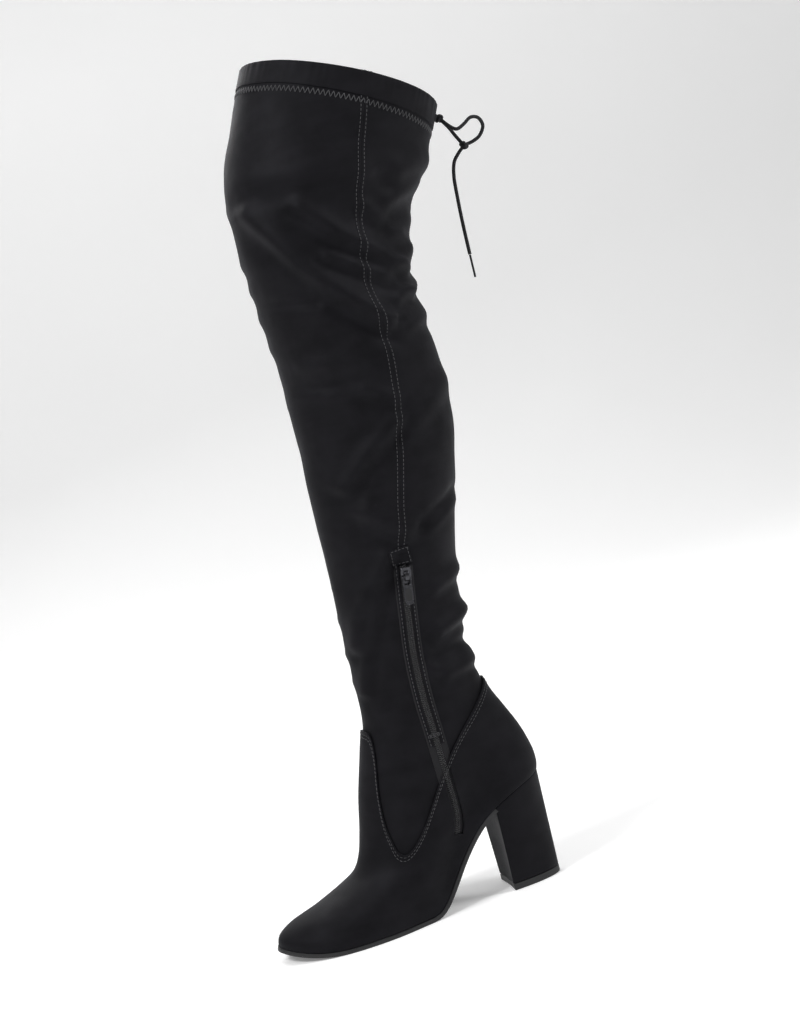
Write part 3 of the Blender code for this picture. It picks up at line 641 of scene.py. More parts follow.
# Level and turn of places on the inner side that are given as seen from the side
def findPlace(forward, up):
    low, high = np.zeros_like(forward), np.full_like(forward, topLevel)
    for _ in range(30):
        level = (low + high) / 2
        back = sections.at("backForward", level) * footLength
        front = sections.at("frontForward", level) * footLength
        along = np.clip((forward - back) / (front - back), 0, 1)
        under = sidePlace(level, along)[1] < up
        low, high = np.where(under, level, low), np.where(under, high, level)
    angle = np.arccos(2 * along - 1)
    turn = angle
    for _ in range(8):
        turn = angle + sections.at("gather", level) * np.sin(turn)
    return level, turn


# The level at a distance down the skin from another level
def levelBelow(level, turn, drop):
    step = 0.5
    length = np.linalg.norm(plainSkin(level, turn) - plainSkin(level - step, turn), axis=-1)
    return level - drop / length * step


def edgeLevel(turn):
    along = (1 + np.cos(turn)) / 2
    return np.where(np.sin(turn) > 0, footEdge.at("inner", along), footEdge.at("outer", along))


# Mesh helpers
def addPiece(name, data, material, slot, *replaced, body="boot"):
    piece = putInScene(name, data)
    data.materials.append(material)
    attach(piece, body)
    if replaced:
        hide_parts(*replaced)
    return piece


def ringTurns(columns):
    return 2 * pi * np.arange(columns) / columns


def gridMesh(name, grid, closed=False, tube=False):
    rows, columns = grid.shape[:2]
    index = np.arange(rows * columns).reshape(rows, columns)
    if closed:
        index = np.concatenate([index, index[:, :1]], 1)
    if tube:
        index = np.concatenate([index, index[:1]], 0)
    faces = np.stack([index[:-1, :-1], index[:-1, 1:], index[1:, 1:], index[1:, :-1]], -1)
    mesh = bpy.data.meshes.new(name)
    mesh.from_pydata(grid.reshape(-1, 3).tolist(), [], faces.reshape(-1, 4).tolist())
    mesh.shade_smooth()
    return mesh


def thicken(piece, thickness, offset=-1):
    wall = piece.modifiers.new("wall", "SOLIDIFY")
    wall.thickness = thickness
    wall.offset = offset
    wall.use_even_offset = True
    return wall


def roundEdges(piece, width, segments=2, angle=50):
    bevel = piece.modifiers.new("round", "BEVEL")
    bevel.width = width
    bevel.segments = segments
    bevel.limit_method = "ANGLE"
    bevel.angle_limit = radians(angle)


def closeEdit(edit, mesh):
    bmesh.ops.recalc_face_normals(edit, faces=edit.faces)
    edit.to_mesh(mesh)
    edit.free()
    return mesh


bead = {
    "sides": 6,
    # each station's place along the length, its girth and its height in radii; an end's height is its tuck
    "stations": (
        (-0.5, 0.35, None), (-0.36, 0.85, 0.1), (0.0, 1.0, 0.55), (0.36, 0.85, 0.1), (0.5, 0.35, None),
    ),
}


# Small rounded threads or teeth, one at each centre, with its ends tucked under
def beads(name, centres, along, out, length, radius, material, slot, tuck=0.9):
    along = unit(along)
    side = unit(np.cross(along, out))
    up = np.cross(side, along)
    sides, points, faces = bead["sides"], [], []
    for reach, girth, height in bead["stations"]:
        rise = -tuck if height is None else height
        for i in range(sides):
            angle = 2 * pi * i / sides
            points.append(
                centres + along * (reach * length)
                + side * (radius * girth * cos(angle))
                + up * (radius * (girth * sin(angle) + rise))
            )
    count = len(points)
    for ring in range(0, count - sides, sides):
        for i in range(sides):
            after = (i + 1) % sides
            faces.append((ring + i, ring + after, ring + sides + after, ring + sides + i))
    faces += [tuple(reversed(range(sides))), tuple(range(count - sides, count))]
    starts = range(0, len(centres) * count, count)
    mesh = bpy.data.meshes.new(name)
    mesh.from_pydata(
        np.stack(points, 1).reshape(-1, 3).tolist(), [],
        [[start + corner for corner in face] for start in starts for face in faces],
    )
    edit = bmesh.new()
    edit.from_mesh(mesh)
    closeEdit(edit, mesh).shade_smooth()
    return addPiece(name, mesh, material, slot)


# How far along a line each of its points is
def distances(points):
    return np.concatenate([[0], np.cumsum(np.linalg.norm(np.diff(points, axis=0), axis=-1))])


def readAlong(data, lengths, at):
    return np.stack([np.interp(at, lengths, column) for column in data.T], -1)


def evenly(points, pitch, *others):
    lengths = distances(points)
    at = np.arange(pitch / 2, lengths[-1], pitch)
    return [readAlong(data, lengths, at) for data in (points, *others)]


stitch = {"pitch": 3.1 * mm, "length": 2.3 * mm, "radius": 0.27 * mm, "stations": 1501}


# A row of stitches along places on the skin
def stitchRow(name, level, turn, proud, material=thread):
    points = skin(level, turn, proud)
    ahead = np.gradient(points, axis=0)
    centres, out, along = evenly(points, stitch["pitch"], skinNormal(level, turn), ahead)
    return beads(name, centres, along, out, stitch["length"], stitch["radius"], material, "black_suede")


# A smooth route over the inner side, as seen from the side, with points an even step apart
def sideRoute(points, step, perSpan=40):
    points = np.array(points, float) * mm
    table = Table("at forward up", np.column_stack([np.arange(len(points)), points]))
    dense = np.linspace(0, len(points) - 1, perSpan * len(points))
    line = np.stack([table.at("forward", dense), table.at("up", dense)], -1)
    lengths = distances(line)
    even = np.linspace(0, lengths[-1], max(int(lengths[-1] / step), 2) + 1)
    return readAlong(line, lengths, even)


# Places beside a side route: levels and turns, one row a station and one column an aside
def besideRoute(route, asides):
    run = unit(np.gradient(route, axis=0))
    asides = np.asarray(asides, float)[None, :]
    forward = route[:, :1] - asides * run[:, 1:]
    up = route[:, 1:] + asides * run[:, :1]
    return findPlace(forward, up)


def sideStrip(name, route, profile, material, slot, *replaced):
    asides, prouds = np.array(profile).T
    level, turn = besideRoute(route, asides)
    return addPiece(name, gridMesh(name, skin(level, turn, prouds[None, :])), material, slot, *replaced)


# A strip's section from edge to edge: shares of its half width and of its rise, the same on both sides
def stripProfile(size, middle=1.0):
    half, rise = size["halfWidth"], size["rise"]
    outward = [(half, size["edge"]), *((half * aside, rise * height) for aside, height in size["shape"])]
    return [(-aside, height) for aside, height in outward] + [(0, rise * middle)] + outward[::-1]


def rowBeside(name, route, aside, proud):
    level, turn = besideRoute(route, (aside,))
    stitchRow(name, level[:, 0], turn[:, 0], proud)


# Drawcord
drawcord = {
    "diameter": 2.8 * mm,
    "tipDiameter": 1.7 * mm,
    "knotRadius": 3.6 * mm,
    "tuck": 1.3 * mm,         # how far each cord's end reaches into its knot
    "gap": 0.35 * mm,
    "exitKnot": (0.0105, 0.0814, 0.5899),
    "bowKnot": (0.0098, 0.0953, 0.5655),
    "loop": (
        (0.0163, 0.0863, 0.5815), (0.0183, 0.0908, 0.5780), (0.0173, 0.0973, 0.5805),
        (0.0158, 0.1043, 0.5845), (0.0138, 0.1108, 0.5830), (0.0123, 0.1133, 0.5765),
        (0.0110, 0.1093, 0.5700), (0.0103, 0.1033, 0.5670),
    ),
    "strand": ((0.0073, 0.0878, 0.5820), (0.0068, 0.0913, 0.5750)),
    "end": (
        (0.0098, 0.0893, 0.5605), (0.0094, 0.0843, 0.5545), (0.0090, 0.0813, 0.5435),
        (0.0088, 0.0798, 0.5265), (0.0088, 0.0786, 0.5065), (0.0088, 0.0778, 0.4835),
    ),
    "tipEnd": (0.0092, 0.0772, 0.4655),
}
knot = {
    "ring": 1.75 * mm,
    "wind": 0.95 * mm,
    "height": 1.425 * mm,
    "cord": 1.3 * mm,
    "steps": 96,
    "sides": 10,
}


# Points every half diameter along a smooth curve through a route
def smoothRoute(route, perSpan=16):
    points = np.array([tuple(point) for point in route])
    last = len(points) - 1
    table = Table("at x y z", np.column_stack([np.arange(len(points)), points]), softEnds=True)
    dense = np.concatenate([np.arange(0, last, 1 / perSpan), [last]])
    line = np.stack([table.at(axis, dense) for axis in "xyz"], -1)
    lengths = distances(line)
    count = max(round(lengths[-1] / (drawcord["diameter"] / 2)), 2)
    return readAlong(line, lengths, np.linspace(0, lengths[-1], count + 1))


def offKnot(knot, toward):
    direction = (Vector(toward) - Vector(knot)).normalized()
    return Vector(knot) + direction * (drawcord["knotRadius"] - drawcord["tuck"])


def cordPiece(name, route, node, diameter=drawcord["diameter"], material=braid, slot="black_cord"):
    points = smoothRoute(route)
    curve = bpy.data.curves.new(name, "CURVE")
    curve.dimensions = "3D"
    curve.bevel_depth = diameter / 2
    curve.bevel_resolution = 3
    curve.use_fill_caps = True
    spline = curve.splines.new("POLY")
    spline.points.add(len(points) - 1)
    for place, point in zip(spline.points, points):
        place.co = (*point, 1)
    spline.use_smooth = True
    return addPiece(name, curve, material, slot, node), float(distances(points)[-1])


# A knot pulled tight: one closed line goes round twice and winds over and under itself three times
def knotPiece(name, centre, toward, node):
    turns = ringTurns(knot["steps"])
    reach = knot["ring"] + knot["wind"] * np.cos(3 * turns)
    height = -knot["height"] * np.sin(3 * turns)
    line = np.stack([reach * np.cos(2 * turns), reach * np.sin(2 * turns), height], -1)
    ahead = unit(np.roll(line, -1, 0) - np.roll(line, 1, 0))
    side = unit(np.cross(ahead, (0, 0, 1)))
    up = np.cross(side, ahead)
    angles = -ringTurns(knot["sides"])[None, :, None]
    grid = line[:, None] + knot["cord"] * (side[:, None] * np.cos(angles) + up[:, None] * np.sin(angles))
    facing = (Vector(toward) - Vector(centre)).to_track_quat("Z", "Y").to_matrix()
    grid = grid @ np.array(facing).T + np.array(centre)
    return addPiece(name, gridMesh(name, grid, closed=True, tube=True), braid, "black_cord", node)


def makeDrawcord():
    cord = drawcord
    exitKnot = knotPiece("cordExitKnot", cord["exitKnot"], cord["loop"][0], "cord_knot_exit")
    bowKnot = knotPiece("cordBowKnot", cord["bowKnot"], cord["end"][0], "cord_knot_bow")
    loopRoute, strandRoute = (
        (offKnot(cord["exitKnot"], route[0]), *route, offKnot(cord["bowKnot"], route[-1]))
        for route in (cord["loop"], cord["strand"])
    )
    endRoute = (offKnot(cord["bowKnot"], cord["end"][0]), *cord["end"])
    tipStart = Vector(cord["end"][-1])
    tipStart += (Vector(cord["tipEnd"]) - tipStart).normalized() * cord["gap"]
    loop, loopLength = cordPiece("cordLoop", loopRoute, "cord_loop")
    strand, _ = cordPiece("cordStrand", strandRoute, "cord_strand")
    end, endLength = cordPiece("cordEnd", endRoute, "cord_end")
    tipRoute = (tipStart, cord["tipEnd"])
    tip, _ = cordPiece("cordTip", tipRoute, "cord_tip", cord["tipDiameter"], gunmetal, "dark_metal")
    print("drawcord", round(loopLength, 4), round(endLength, 4))


makeDrawcord()

# Shaft
shaft = {
    "nodes": ("shaft", "shaft_knee", "shaft_thigh"),
    "columns": 168,
    "ankleRows": 56,
    "legRows": 140,
    "ankleLevel": 12.0,
    "wall": 1.4 * mm,
    "overlap": 12 * mm,
    "casing": 14 * mm,
    "gap": 0.35 * mm,
}


def makeShaft():
    turns = ringTurns(shaft["columns"])
    low = levelBelow(edgeLevel(turns), turns, shaft["overlap"])
    high = levelBelow(np.full_like(turns, topLevel), turns, shaft["casing"] + shaft["gap"])
    lowRows = (np.arange(shaft["ankleRows"]) / shaft["ankleRows"])[:, None]
    legRows = np.linspace(0, 1, shaft["legRows"])[:, None]
    ankle = shaft["ankleLevel"]
    levels = np.concatenate([mix(low, ankle, lowRows), mix(ankle, high, legRows)], 0)
    mesh = gridMesh("shaftSuede", skin(levels, turns[None, :]), closed=True)
    piece = addPiece("shaftSuede", mesh, suede, "black_suede", *shaft["nodes"])
    mesh.materials.append(lining)
    wall = thicken(piece, shaft["wall"])
    wall.material_offset = 1
    wall.material_offset_rim = 0


makeShaft()
print("shaft made")

# Collar casing, with its turned edge and the row of zigzag stitches under it
casing = {
    "columns": 220,
    "height": 14 * mm,
    "proud": 0.8 * mm,
    "thickness": 3.0 * mm,
    "pucker": 0.28 * mm,
    "puckers": 64,
    "wander": 9,            # radians by which the puckers stray from an even row
    "wanderScale": 4,
    "wanderHeight": 0.3,
    "puckerEnd": 1.1,       # share down at which the puckers have all but gone
    "puckerLeast": 0.2,
    # shares down and inward, round a soft loop whose lip hangs over the shaft's top edge
    "section": (
        (0.0, 0.32), (0.0, 0.68), (0.04, 0.90), (0.14, 1.0), (0.5, 1.0), (0.92, 1.0), (0.985, 0.93),
        (0.99, 0.5), (0.99, 0.22), (1.06, 0.185), (1.10, 0.15), (1.115, 0.08), (1.09, 0.0), (0.95, 0.0),
        (0.6, 0.02), (0.35, 0.02), (0.14, 0.0), (0.04, 0.10),
    ),
}
zigzag = {
    "drop": 4.4 * mm,
    "height": 4.6 * mm,
    "pitch": 1.9 * mm,
    "radius": 0.34 * mm,
    "proud": 0.12 * mm,
    "tuck": 0.3,
    "stations": 1201,
}
eyelet = {
    "angle": 8.0,
    "drop": 8.4 * mm,
    "lift": 0.1 * mm,
    "radius": 2.6 * mm,
    "wire": 0.55 * mm,
    "columns": 28,
    "sides": 8,
}


def makeCasing():
    turns = ringTurns(casing["columns"])
    low = levelBelow(np.full_like(turns, topLevel), turns, casing["height"])
    scale, height = casing["wanderScale"], casing["wanderHeight"]
    places = [Vector((cos(turn) * scale, sin(turn) * scale, height)) for turn in turns]
    wander = np.array([noise.noise(place) for place in places])
    pucker = np.sin(turns * casing["puckers"] + wander * casing["wander"]) * casing["pucker"]
    rows = []
    for down, depth in casing["section"]:
        fade = np.clip(casing["puckerEnd"] - down, casing["puckerLeast"], 1) * (1 - depth)
        proud = casing["proud"] - depth * casing["thickness"] + pucker * fade
        rows.append(skin(mix(topLevel, low, down), turns, proud))
    mesh = gridMesh("casingSuede", np.stack(rows, 0), closed=True, tube=True)
    piece = addPiece("casingSuede", mesh, suede, "black_suede", "collar_casing")
    smooth = piece.modifiers.new("smooth", "SUBSURF")
    smooth.levels = smooth.render_levels = 1


def makeCasingStitches():
    turns = np.linspace(0, 2 * pi, zigzag["stations"])
    base = levelBelow(np.full_like(turns, topLevel), turns, casing["height"] + zigzag["drop"])
    centres, out = evenly(skin(base, turns, zigzag["proud"]), zigzag["pitch"], skinNormal(base, turns))
    around = unit(np.gradient(centres, axis=0))
    upward = np.cross(out, around)
    lean = np.where(np.arange(len(centres)) % 2 == 0, 1.0, -1.0)[:, None]
    along = around * zigzag["pitch"] * lean + upward * zigzag["height"]
    length, radius = float(np.linalg.norm(along[0])), zigzag["radius"]
    beads("casingZigzag", centres, along, out, length, radius, thread, "black_suede", zigzag["tuck"])


def makeEyelet():
    turn = np.array([pi - radians(eyelet["angle"])])
    level = levelBelow(np.array([topLevel]), turn, eyelet["drop"])
    place = skin(level, turn, casing["proud"] + eyelet["lift"])[0]
    normal = Vector(skinNormal(level, turn)[0])
    tilt, around = np.meshgrid(ringTurns(eyelet["sides"]), ringTurns(eyelet["columns"]), indexing="ij")
    reach = eyelet["radius"] + eyelet["wire"] * np.cos(tilt)
    grid = np.stack([reach * np.cos(around), reach * np.sin(around), eyelet["wire"] * np.sin(tilt)], -1)
    ring = gridMesh("cordEyelet", grid, closed=True, tube=True)
    ring.transform(Matrix.Translation(place) @ normal.to_track_quat("Z", "Y").to_matrix().to_4x4())
    addPiece("cordEyelet", ring, darkThread, "black_suede")


makeCasing()
makeCasingStitches()
makeEyelet()
print("collar made")

# Foot piece: vamp and counter
footPiece = {
    "columns": 220,
    "rows": 64,
    "rowPower": 0.92,
    "settledRows": 10,
    "seat": 0.35 * mm,
    "wall": 1.4 * mm,
    "gap": 0.6 * mm,
    "slotWidth": 7.5 * mm,
    "slotBottom": 58.5 * mm,
    "slotTop": 136 * mm,
    "slotStep": 4 * mm,
    "cutterDrop": 4 * mm,
    "cutterDepth": 9 * mm,
    "stitchDrops": (2.2 * mm, 4.9 * mm),
    "stitchRise": 0.05 * mm,
}
zipSizes = {
    "top": 269 * mm,
    "bottom": 58 * mm,
}


def zipRoute(bottom, top, step=2.5 * mm):
    up = np.linspace(bottom, top, int((top - bottom) / step) + 1)
    return np.stack([zipLine.at("forward", up / zipSizes["top"]) * footLength, up], -1)


def makeFootPiece():
    foot = footPiece
    turns = ringTurns(foot["columns"])
    rows = (np.linspace(0, 1, foot["rows"]) ** foot["rowPower"])[:, None]
    proud = foot["gap"] + foot["wall"]
    grid = skin(edgeLevel(turns)[None, :] * rows, turns[None, :], proud)
    shift = heightOverBed(heelLength / 2 - grid[0, :, 1], foot["seat"]) - grid[0, :, 2]
    fade = np.clip(1 - np.arange(foot["rows"]) / foot["settledRows"], 0, 1) ** 2
    grid[:, :, 2] += fade[:, None] * shift[None, :]   # the lowest rows settle on the sole
    mesh = gridMesh("footSuede", grid, closed=True)
    piece = addPiece("footSuede", mesh, suede, "black_suede", "upper")
    thicken(piece, foot["wall"])
    cutSlot(piece)
    edgeTurns = np.linspace(0, 2 * pi, stitch["stations"])
    for i, drop in enumerate(foot["stitchDrops"]):
        level = levelBelow(edgeLevel(edgeTurns), edgeTurns, drop)
        material = thread if i else darkThread
        stitchRow(f"footEdgeStitches{i}", level, edgeTurns, proud + foot["stitchRise"], material)


# The slot along the zip, cut through the foot piece
def cutSlot(piece):
    foot = footPiece
    half = foot["slotWidth"] / 2
    route = zipRoute(foot["slotBottom"], foot["slotTop"], foot["slotStep"])
    level, turn = besideRoute(route, (-half, 0, half))
    cutter = putInScene("slotCutter", gridMesh("slotCutter", skin(level, turn, -foot["cutterDrop"])))
    thicken(cutter, foot["cutterDepth"], 1)
    cut = piece.modifiers.new("slot", "BOOLEAN")
    cut.operation = "DIFFERENCE"
    cut.solver = "EXACT"
    cut.object = cutter
    bpy.context.view_layer.objects.active = piece
    shape = bpy.data.meshes.new_from_object(piece.evaluated_get(bpy.context.evaluated_depsgraph_get()))
    piece.modifiers.clear()
    piece.data = shape
    bpy.data.objects.remove(cutter)


makeFootPiece()
print("foot piece made")

# Seam up the inner side
seam = {
    "points": (
        (64, 281), (55, 320), (46, 358), (39, 396), (36, 435), (39, 476), (34, 522), (22, 566),
        (6, 616), (-1, 641),
    ),
    "step": 2.5 * mm,
    "halfWidth": 3.6 * mm,
    "rise": 0.34 * mm,
    "edge": -0.15 * mm,
    "shape": ((0.86, 0.5), (0.62, 0.75), (0.3, 1.0), (0.08, 0.8)),
    "groove": 0.05,
    "stitchAside": 2.3 * mm,
    "stitchRise": 0.75,
}


def makeSeam():
    route = sideRoute(seam["points"], seam["step"])
    sideStrip("innerSeam", route, stripProfile(seam, seam["groove"]), suede, "black_suede")
    for name, side in (("seamStitchesFront", -1), ("seamStitchesBack", 1)):
        rowBeside(name, route, side * seam["stitchAside"], seam["rise"] * seam["stitchRise"])


makeSeam()

# Zip
zipTape = {"halfWidth": 7.5 * mm, "rise": 0.35 * mm, "edge": 0.0, "shape": ((0.6, 1.0),), "wall": 0.25 * mm}
zipLips = {
    "below": 6 * mm,          # how far under the foot piece's edge they start
    "above": 0.5 * mm,
    # aside of the zip's middle and up from the skin, from the inner edge outward
    "section": (
        (3.1 * mm, 0.3 * mm), (3.162 * mm, 0.95 * mm), (3.658 * mm, 1.25 * mm), (4.585 * mm, 1.15 * mm),
        (5.74 * mm, 0.8 * mm), (6.4 * mm, 0.35 * mm), (7.36 * mm, -0.1 * mm),
    ),
    "stitchAside": 5.146 * mm,
    "stitchRise": 1.0 * mm,
}
zipCoil = {
    "pitch": 1.55 * mm,
    "step": 0.5 * mm,
    "rise": 0.75 * mm,
    "aside": 1.012 * mm,
    "length": 2.576 * mm,
    "radius": 0.52 * mm,
    "lean": 0.12,
    "tuck": 0.35,
}


def makeZip():
    route = zipRoute(zipSizes["bottom"], zipSizes["top"])
    tape = sideStrip("zipTape", route, stripProfile(zipTape), lining, "zip_coil", "zip")
    thicken(tape, zipTape["wall"], 1)
    upper = zipRoute(footPiece["slotTop"] - zipLips["below"], zipSizes["top"] + zipLips["above"])
    for name, side in (("zipLipFront", -1), ("zipLipBack", 1)):
        section = [(aside * side, rise) for aside, rise in zipLips["section"]][::side]
        sideStrip(name, upper, section, suede, "black_suede")
        rowBeside(name + "Stitches", upper, side * zipLips["stitchAside"], zipLips["stitchRise"])
    coil = zipCoil
    level, turn = besideRoute(zipRoute(zipSizes["bottom"], zipSizes["top"], coil["step"]), (0,))
    level, turn = level[:, 0], turn[:, 0]
    centres, out = evenly(skin(level, turn, coil["rise"]), coil["pitch"], skinNormal(level, turn))
    ahead = unit(np.gradient(centres, axis=0))
    for name, side, shift in (("coilFront", -1, 0.0), ("coilBack", 1, 0.5)):
        across = np.cross(ahead, out) * side
        middle = centres + ahead * coil["pitch"] * shift + across * coil["aside"]
        tooth = across + ahead * coil["lean"]
        beads(name, middle, tooth, out, coil["length"], coil["radius"], coilNylon, "zip_coil", coil["tuck"])


# Stitched patch over the zip's top end, and the bar-tack where the foot piece closes over the zip
garage = {
    "bottom": 270.5 * mm,
    "top": 283 * mm,
    "step": 1 * mm,
    "halfWidth": 8.2 * mm,
    "rise": 0.95 * mm,
    "edge": -0.2 * mm,
    "shape": ((0.95, 0.8), (0.8, 1.0)),
    "wall": 0.9 * mm,
    "round": 0.3 * mm,
    "inset": 1.5 * mm,
    "stitchRise": 0.08 * mm,
    "stations": 24,
}
barTack = {
    "low": 1 * mm,
    "high": 3.5 * mm,
    "step": 0.5 * mm,
    "half": 5 * mm,
    "rise": 1.9 * mm,
    "stations": 40,
}


def makeGarage():
    route = zipRoute(garage["bottom"], garage["top"], garage["step"])
    patch = sideStrip("zipGarage", route, stripProfile(garage), suede, "black_suede")
    thicken(patch, garage["wall"])
    roundEdges(patch, garage["round"])
    reach, proud = garage["halfWidth"] - garage["inset"], garage["rise"] + garage["stitchRise"]
    rowBeside("garageStitchesFront", route, -reach, proud)
    rowBeside("garageStitchesBack", route, reach, proud)
    level, turn = besideRoute(route, np.linspace(-reach, reach, garage["stations"]))
    for name, row in (("garageStitchesLow", 1), ("garageStitchesHigh", len(route) - 2)):
        stitchRow(name, level[row], turn[row], proud)
    top = footPiece["slotTop"]
    route = zipRoute(top + barTack["low"], top + barTack["high"], barTack["step"])
    level, turn = besideRoute(route, np.linspace(-barTack["half"], barTack["half"], barTack["stations"]))
    for row in range(0, len(route), 2):
        stitchRow(f"barTack{row}", level[row], turn[row], barTack["rise"])


makeZip()
makeGarage()
print("seam and zip made")

# Slider and pull tab
slider = {
    "width": 9 * mm,
    "tailWidth": 6.5 * mm,
    "length": 13 * mm,
    "thickness": 2.4 * mm,
    "squareness": 0.55,
    "corners": 40,
    "round": 0.22 * mm,
    # each plate's name, middle height, thickness and the node that it stands for
    "plates": (
        ("sliderSole", 0.35 * mm, 0.7 * mm, ()),
        ("sliderBody", 1.75 * mm, 1.3 * mm, ("zip_slider",)),
    ),
    "neck": {"width": 2.2 * mm, "length": 4 * mm, "squareness": 0.8, "corners": 20},
    "neckUp": 3.5 * mm,
    "neckHeight": 1.1 * mm,
    "neckThickness": 1.2 * mm,
    "crownWidth": 3.2 * mm,
    "crownLength": 8 * mm,
    "crownHeight": 3.4 * mm,
    "crownStrap": 0.8 * mm,
    "crownSink": 0.2 * mm,
    "crownArch": 0.7,
    "crownSteps": 16,
    "crownRound": 0.18 * mm,
}
pull = {
    "width": 7 * mm,
    "length": 17 * mm,
    "thickness": 1.4 * mm,
    "round": 0.3 * mm,
    "window": {"width": 4.6 * mm, "length": 5.4 * mm, "squareness": 0.6, "corners": 44},
    "endRadius": 4 * mm,
    # powers across and along that square the upper and the lower half of the outline
    "upper": (0.5, 0.7),
    "lower": (0.55, 0.75),
    "pad": {"width": 5.0 * mm, "length": 9.5 * mm, "squareness": 0.6, "corners": 32},
    "padDown": 13.5 * mm,
    "padThickness": 0.5 * mm,
    "padRound": 0.18 * mm,
}


def onePlace(up):
    forward = zipLine.at("forward", up / zipSizes["top"]) * footLength
    return findPlace(np.array([forward]), np.array([up]))


def sliderFrame():
    half = slider["length"] / 2
    up = zipSizes["top"] - half
    level, turn = onePlace(up)
    outward = Vector(skinNormal(level, turn)[0])
    ends = [Vector(plainSkin(*onePlace(end))[0]) for end in (up - half, up + half)]
    upward = ends[1] - ends[0]
    upward = (upward - outward * upward.dot(outward)).normalized()
    placed = Matrix((upward.cross(outward), upward, outward)).transposed().to_4x4()
    low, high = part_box("zip_slider")   # the frame's own slider says how far out it stands
    placed.translation = (low + high) / 2 - outward * ((slider["thickness"] + slider["crownHeight"]) / 2)
    return placed


def outlinePlate(name, outer, thickness, window=None):
    edit = bmesh.new()
    faces, count = (-thickness / 2, thickness / 2), len(outer)
    rings = [[edit.verts.new((x, y, z)) for x, y in outer] for z in faces]
    holes = [[edit.verts.new((x, y, z)) for x, y in window] for z in faces] if window else []
    for ring, hole in zip(rings, holes):
        join(edit, ring, hole, count)
    if window:
        join(edit, holes[0], holes[1], count)
    else:
        for ring in rings:
            edit.faces.new(ring)
    join(edit, rings[0], rings[1], count)
    return closeEdit(edit, bpy.data.meshes.new(name))


def join(edit, first, second, count):
    for i in range(count):
        after = (i + 1) % count
        edit.faces.new((first[i], first[after], second[after], second[i]))


# A sine or cosine pushed toward the sides of a square, with its sign kept
def squared(value, power):
    return abs(value) ** power * (1 if value >= 0 else -1)


def softBox(size, along=0.0, taper=1.0):
    points = []
    for i in range(size["corners"]):
        angle = 2 * pi * i / size["corners"]
        y = squared(sin(angle), size["squareness"])
        x = squared(cos(angle), size["squareness"]) * size["width"] / 2 * mix(taper, 1.0, (y + 1) / 2)
        points.append((x, along + y * size["length"] / 2))
    return points


def makeSlider():
    placed = sliderFrame()
    taper = slider["tailWidth"] / slider["width"]
    for name, height, thick, replaced in slider["plates"]:
        mesh = outlinePlate(name, softBox(slider, taper=taper), thick)
        mesh.transform(placed @ Matrix.Translation((0, 0, height)))
        roundEdges(addPiece(name, mesh, gunmetal, "dark_metal", *replaced), slider["round"], 3, 40)
    outer = softBox(slider["neck"], slider["neckUp"])
    mesh = outlinePlate("sliderNeck", outer, slider["neckThickness"])
    mesh.transform(placed @ Matrix.Translation((0, 0, slider["neckHeight"])))
    addPiece("sliderNeck", mesh, gunmetal, "dark_metal")
    makeCrown(placed)
    return placed


# An arched strap that the pull hangs from
def makeCrown(placed):
    half, rise, strap = slider["crownLength"] / 2, slider["crownHeight"], slider["crownStrap"]
    sink, side = slider["crownSink"], slider["crownWidth"] / 2
    rows = []
    for i in range(slider["crownSteps"] + 1):
        angle = pi * i / slider["crownSteps"]
        arch = sin(angle) ** slider["crownArch"]
        y, z = cos(angle) * half, slider["thickness"] - sink + arch * (rise + sink)
        yIn, zIn = cos(angle) * (half - strap), slider["thickness"] - 2 * sink + arch * (rise - strap)
        rows.append([(-side, yIn, zIn), (side, yIn, zIn), (side, y, z), (-side, y, z)])
    mesh = gridMesh("sliderCrown", np.array(rows), closed=True)
    mesh.transform(placed)
    roundEdges(addPiece("sliderCrown", mesh, gunmetal, "dark_metal"), slider["crownRound"], 2, 40)


def pullOutline(middle):
    half, top, corners = pull["width"] / 2, pull["thickness"] / 2, pull["window"]["corners"]
    points = []
    for i in range(corners):
        angle = 2 * pi * i / corners
        upper = sin(angle) >= 0
        across, along = pull["upper"] if upper else pull["lower"]
        share = abs(sin(angle)) ** along
        wide = half if upper else mix(half, pull["endRadius"], share)
        y = mix(middle, top if upper else -pull["length"] - pull["endRadius"], share)
        points.append((squared(cos(angle), across) * wide, y))
    return points


def makePull(placed):
    hinge = placed.copy()
    hinge.translation = Vector(frame["joints"][0]["pos_m"])
    hinge = hinge @ Matrix.Rotation(-atan2(-placed.col[2].z, placed.col[1].z), 4, "X")
    middle = -pull["thickness"] / 2 - pull["window"]["length"] / 2
    window = softBox(pull["window"], middle)
    mesh = outlinePlate("pullTab", pullOutline(middle), pull["thickness"], window)
    mesh.transform(hinge)
    tab = addPiece("pullTab", mesh, gunmetal, "dark_metal", "zip_pull", body="pull")
    roundEdges(tab, pull["round"], 3, 40)
    # a raised pad on the tab's face
    mesh = outlinePlate("pullPad", softBox(pull["pad"], -pull["padDown"]), pull["padThickness"])
    mesh.transform(hinge @ Matrix.Translation((0, 0, pull["thickness"] / 2)))
    roundEdges(addPiece("pullPad", mesh, rubber, "dark_metal", body="pull"), pull["padRound"], 2, 40)


makePull(makeSlider())
print("slider made")

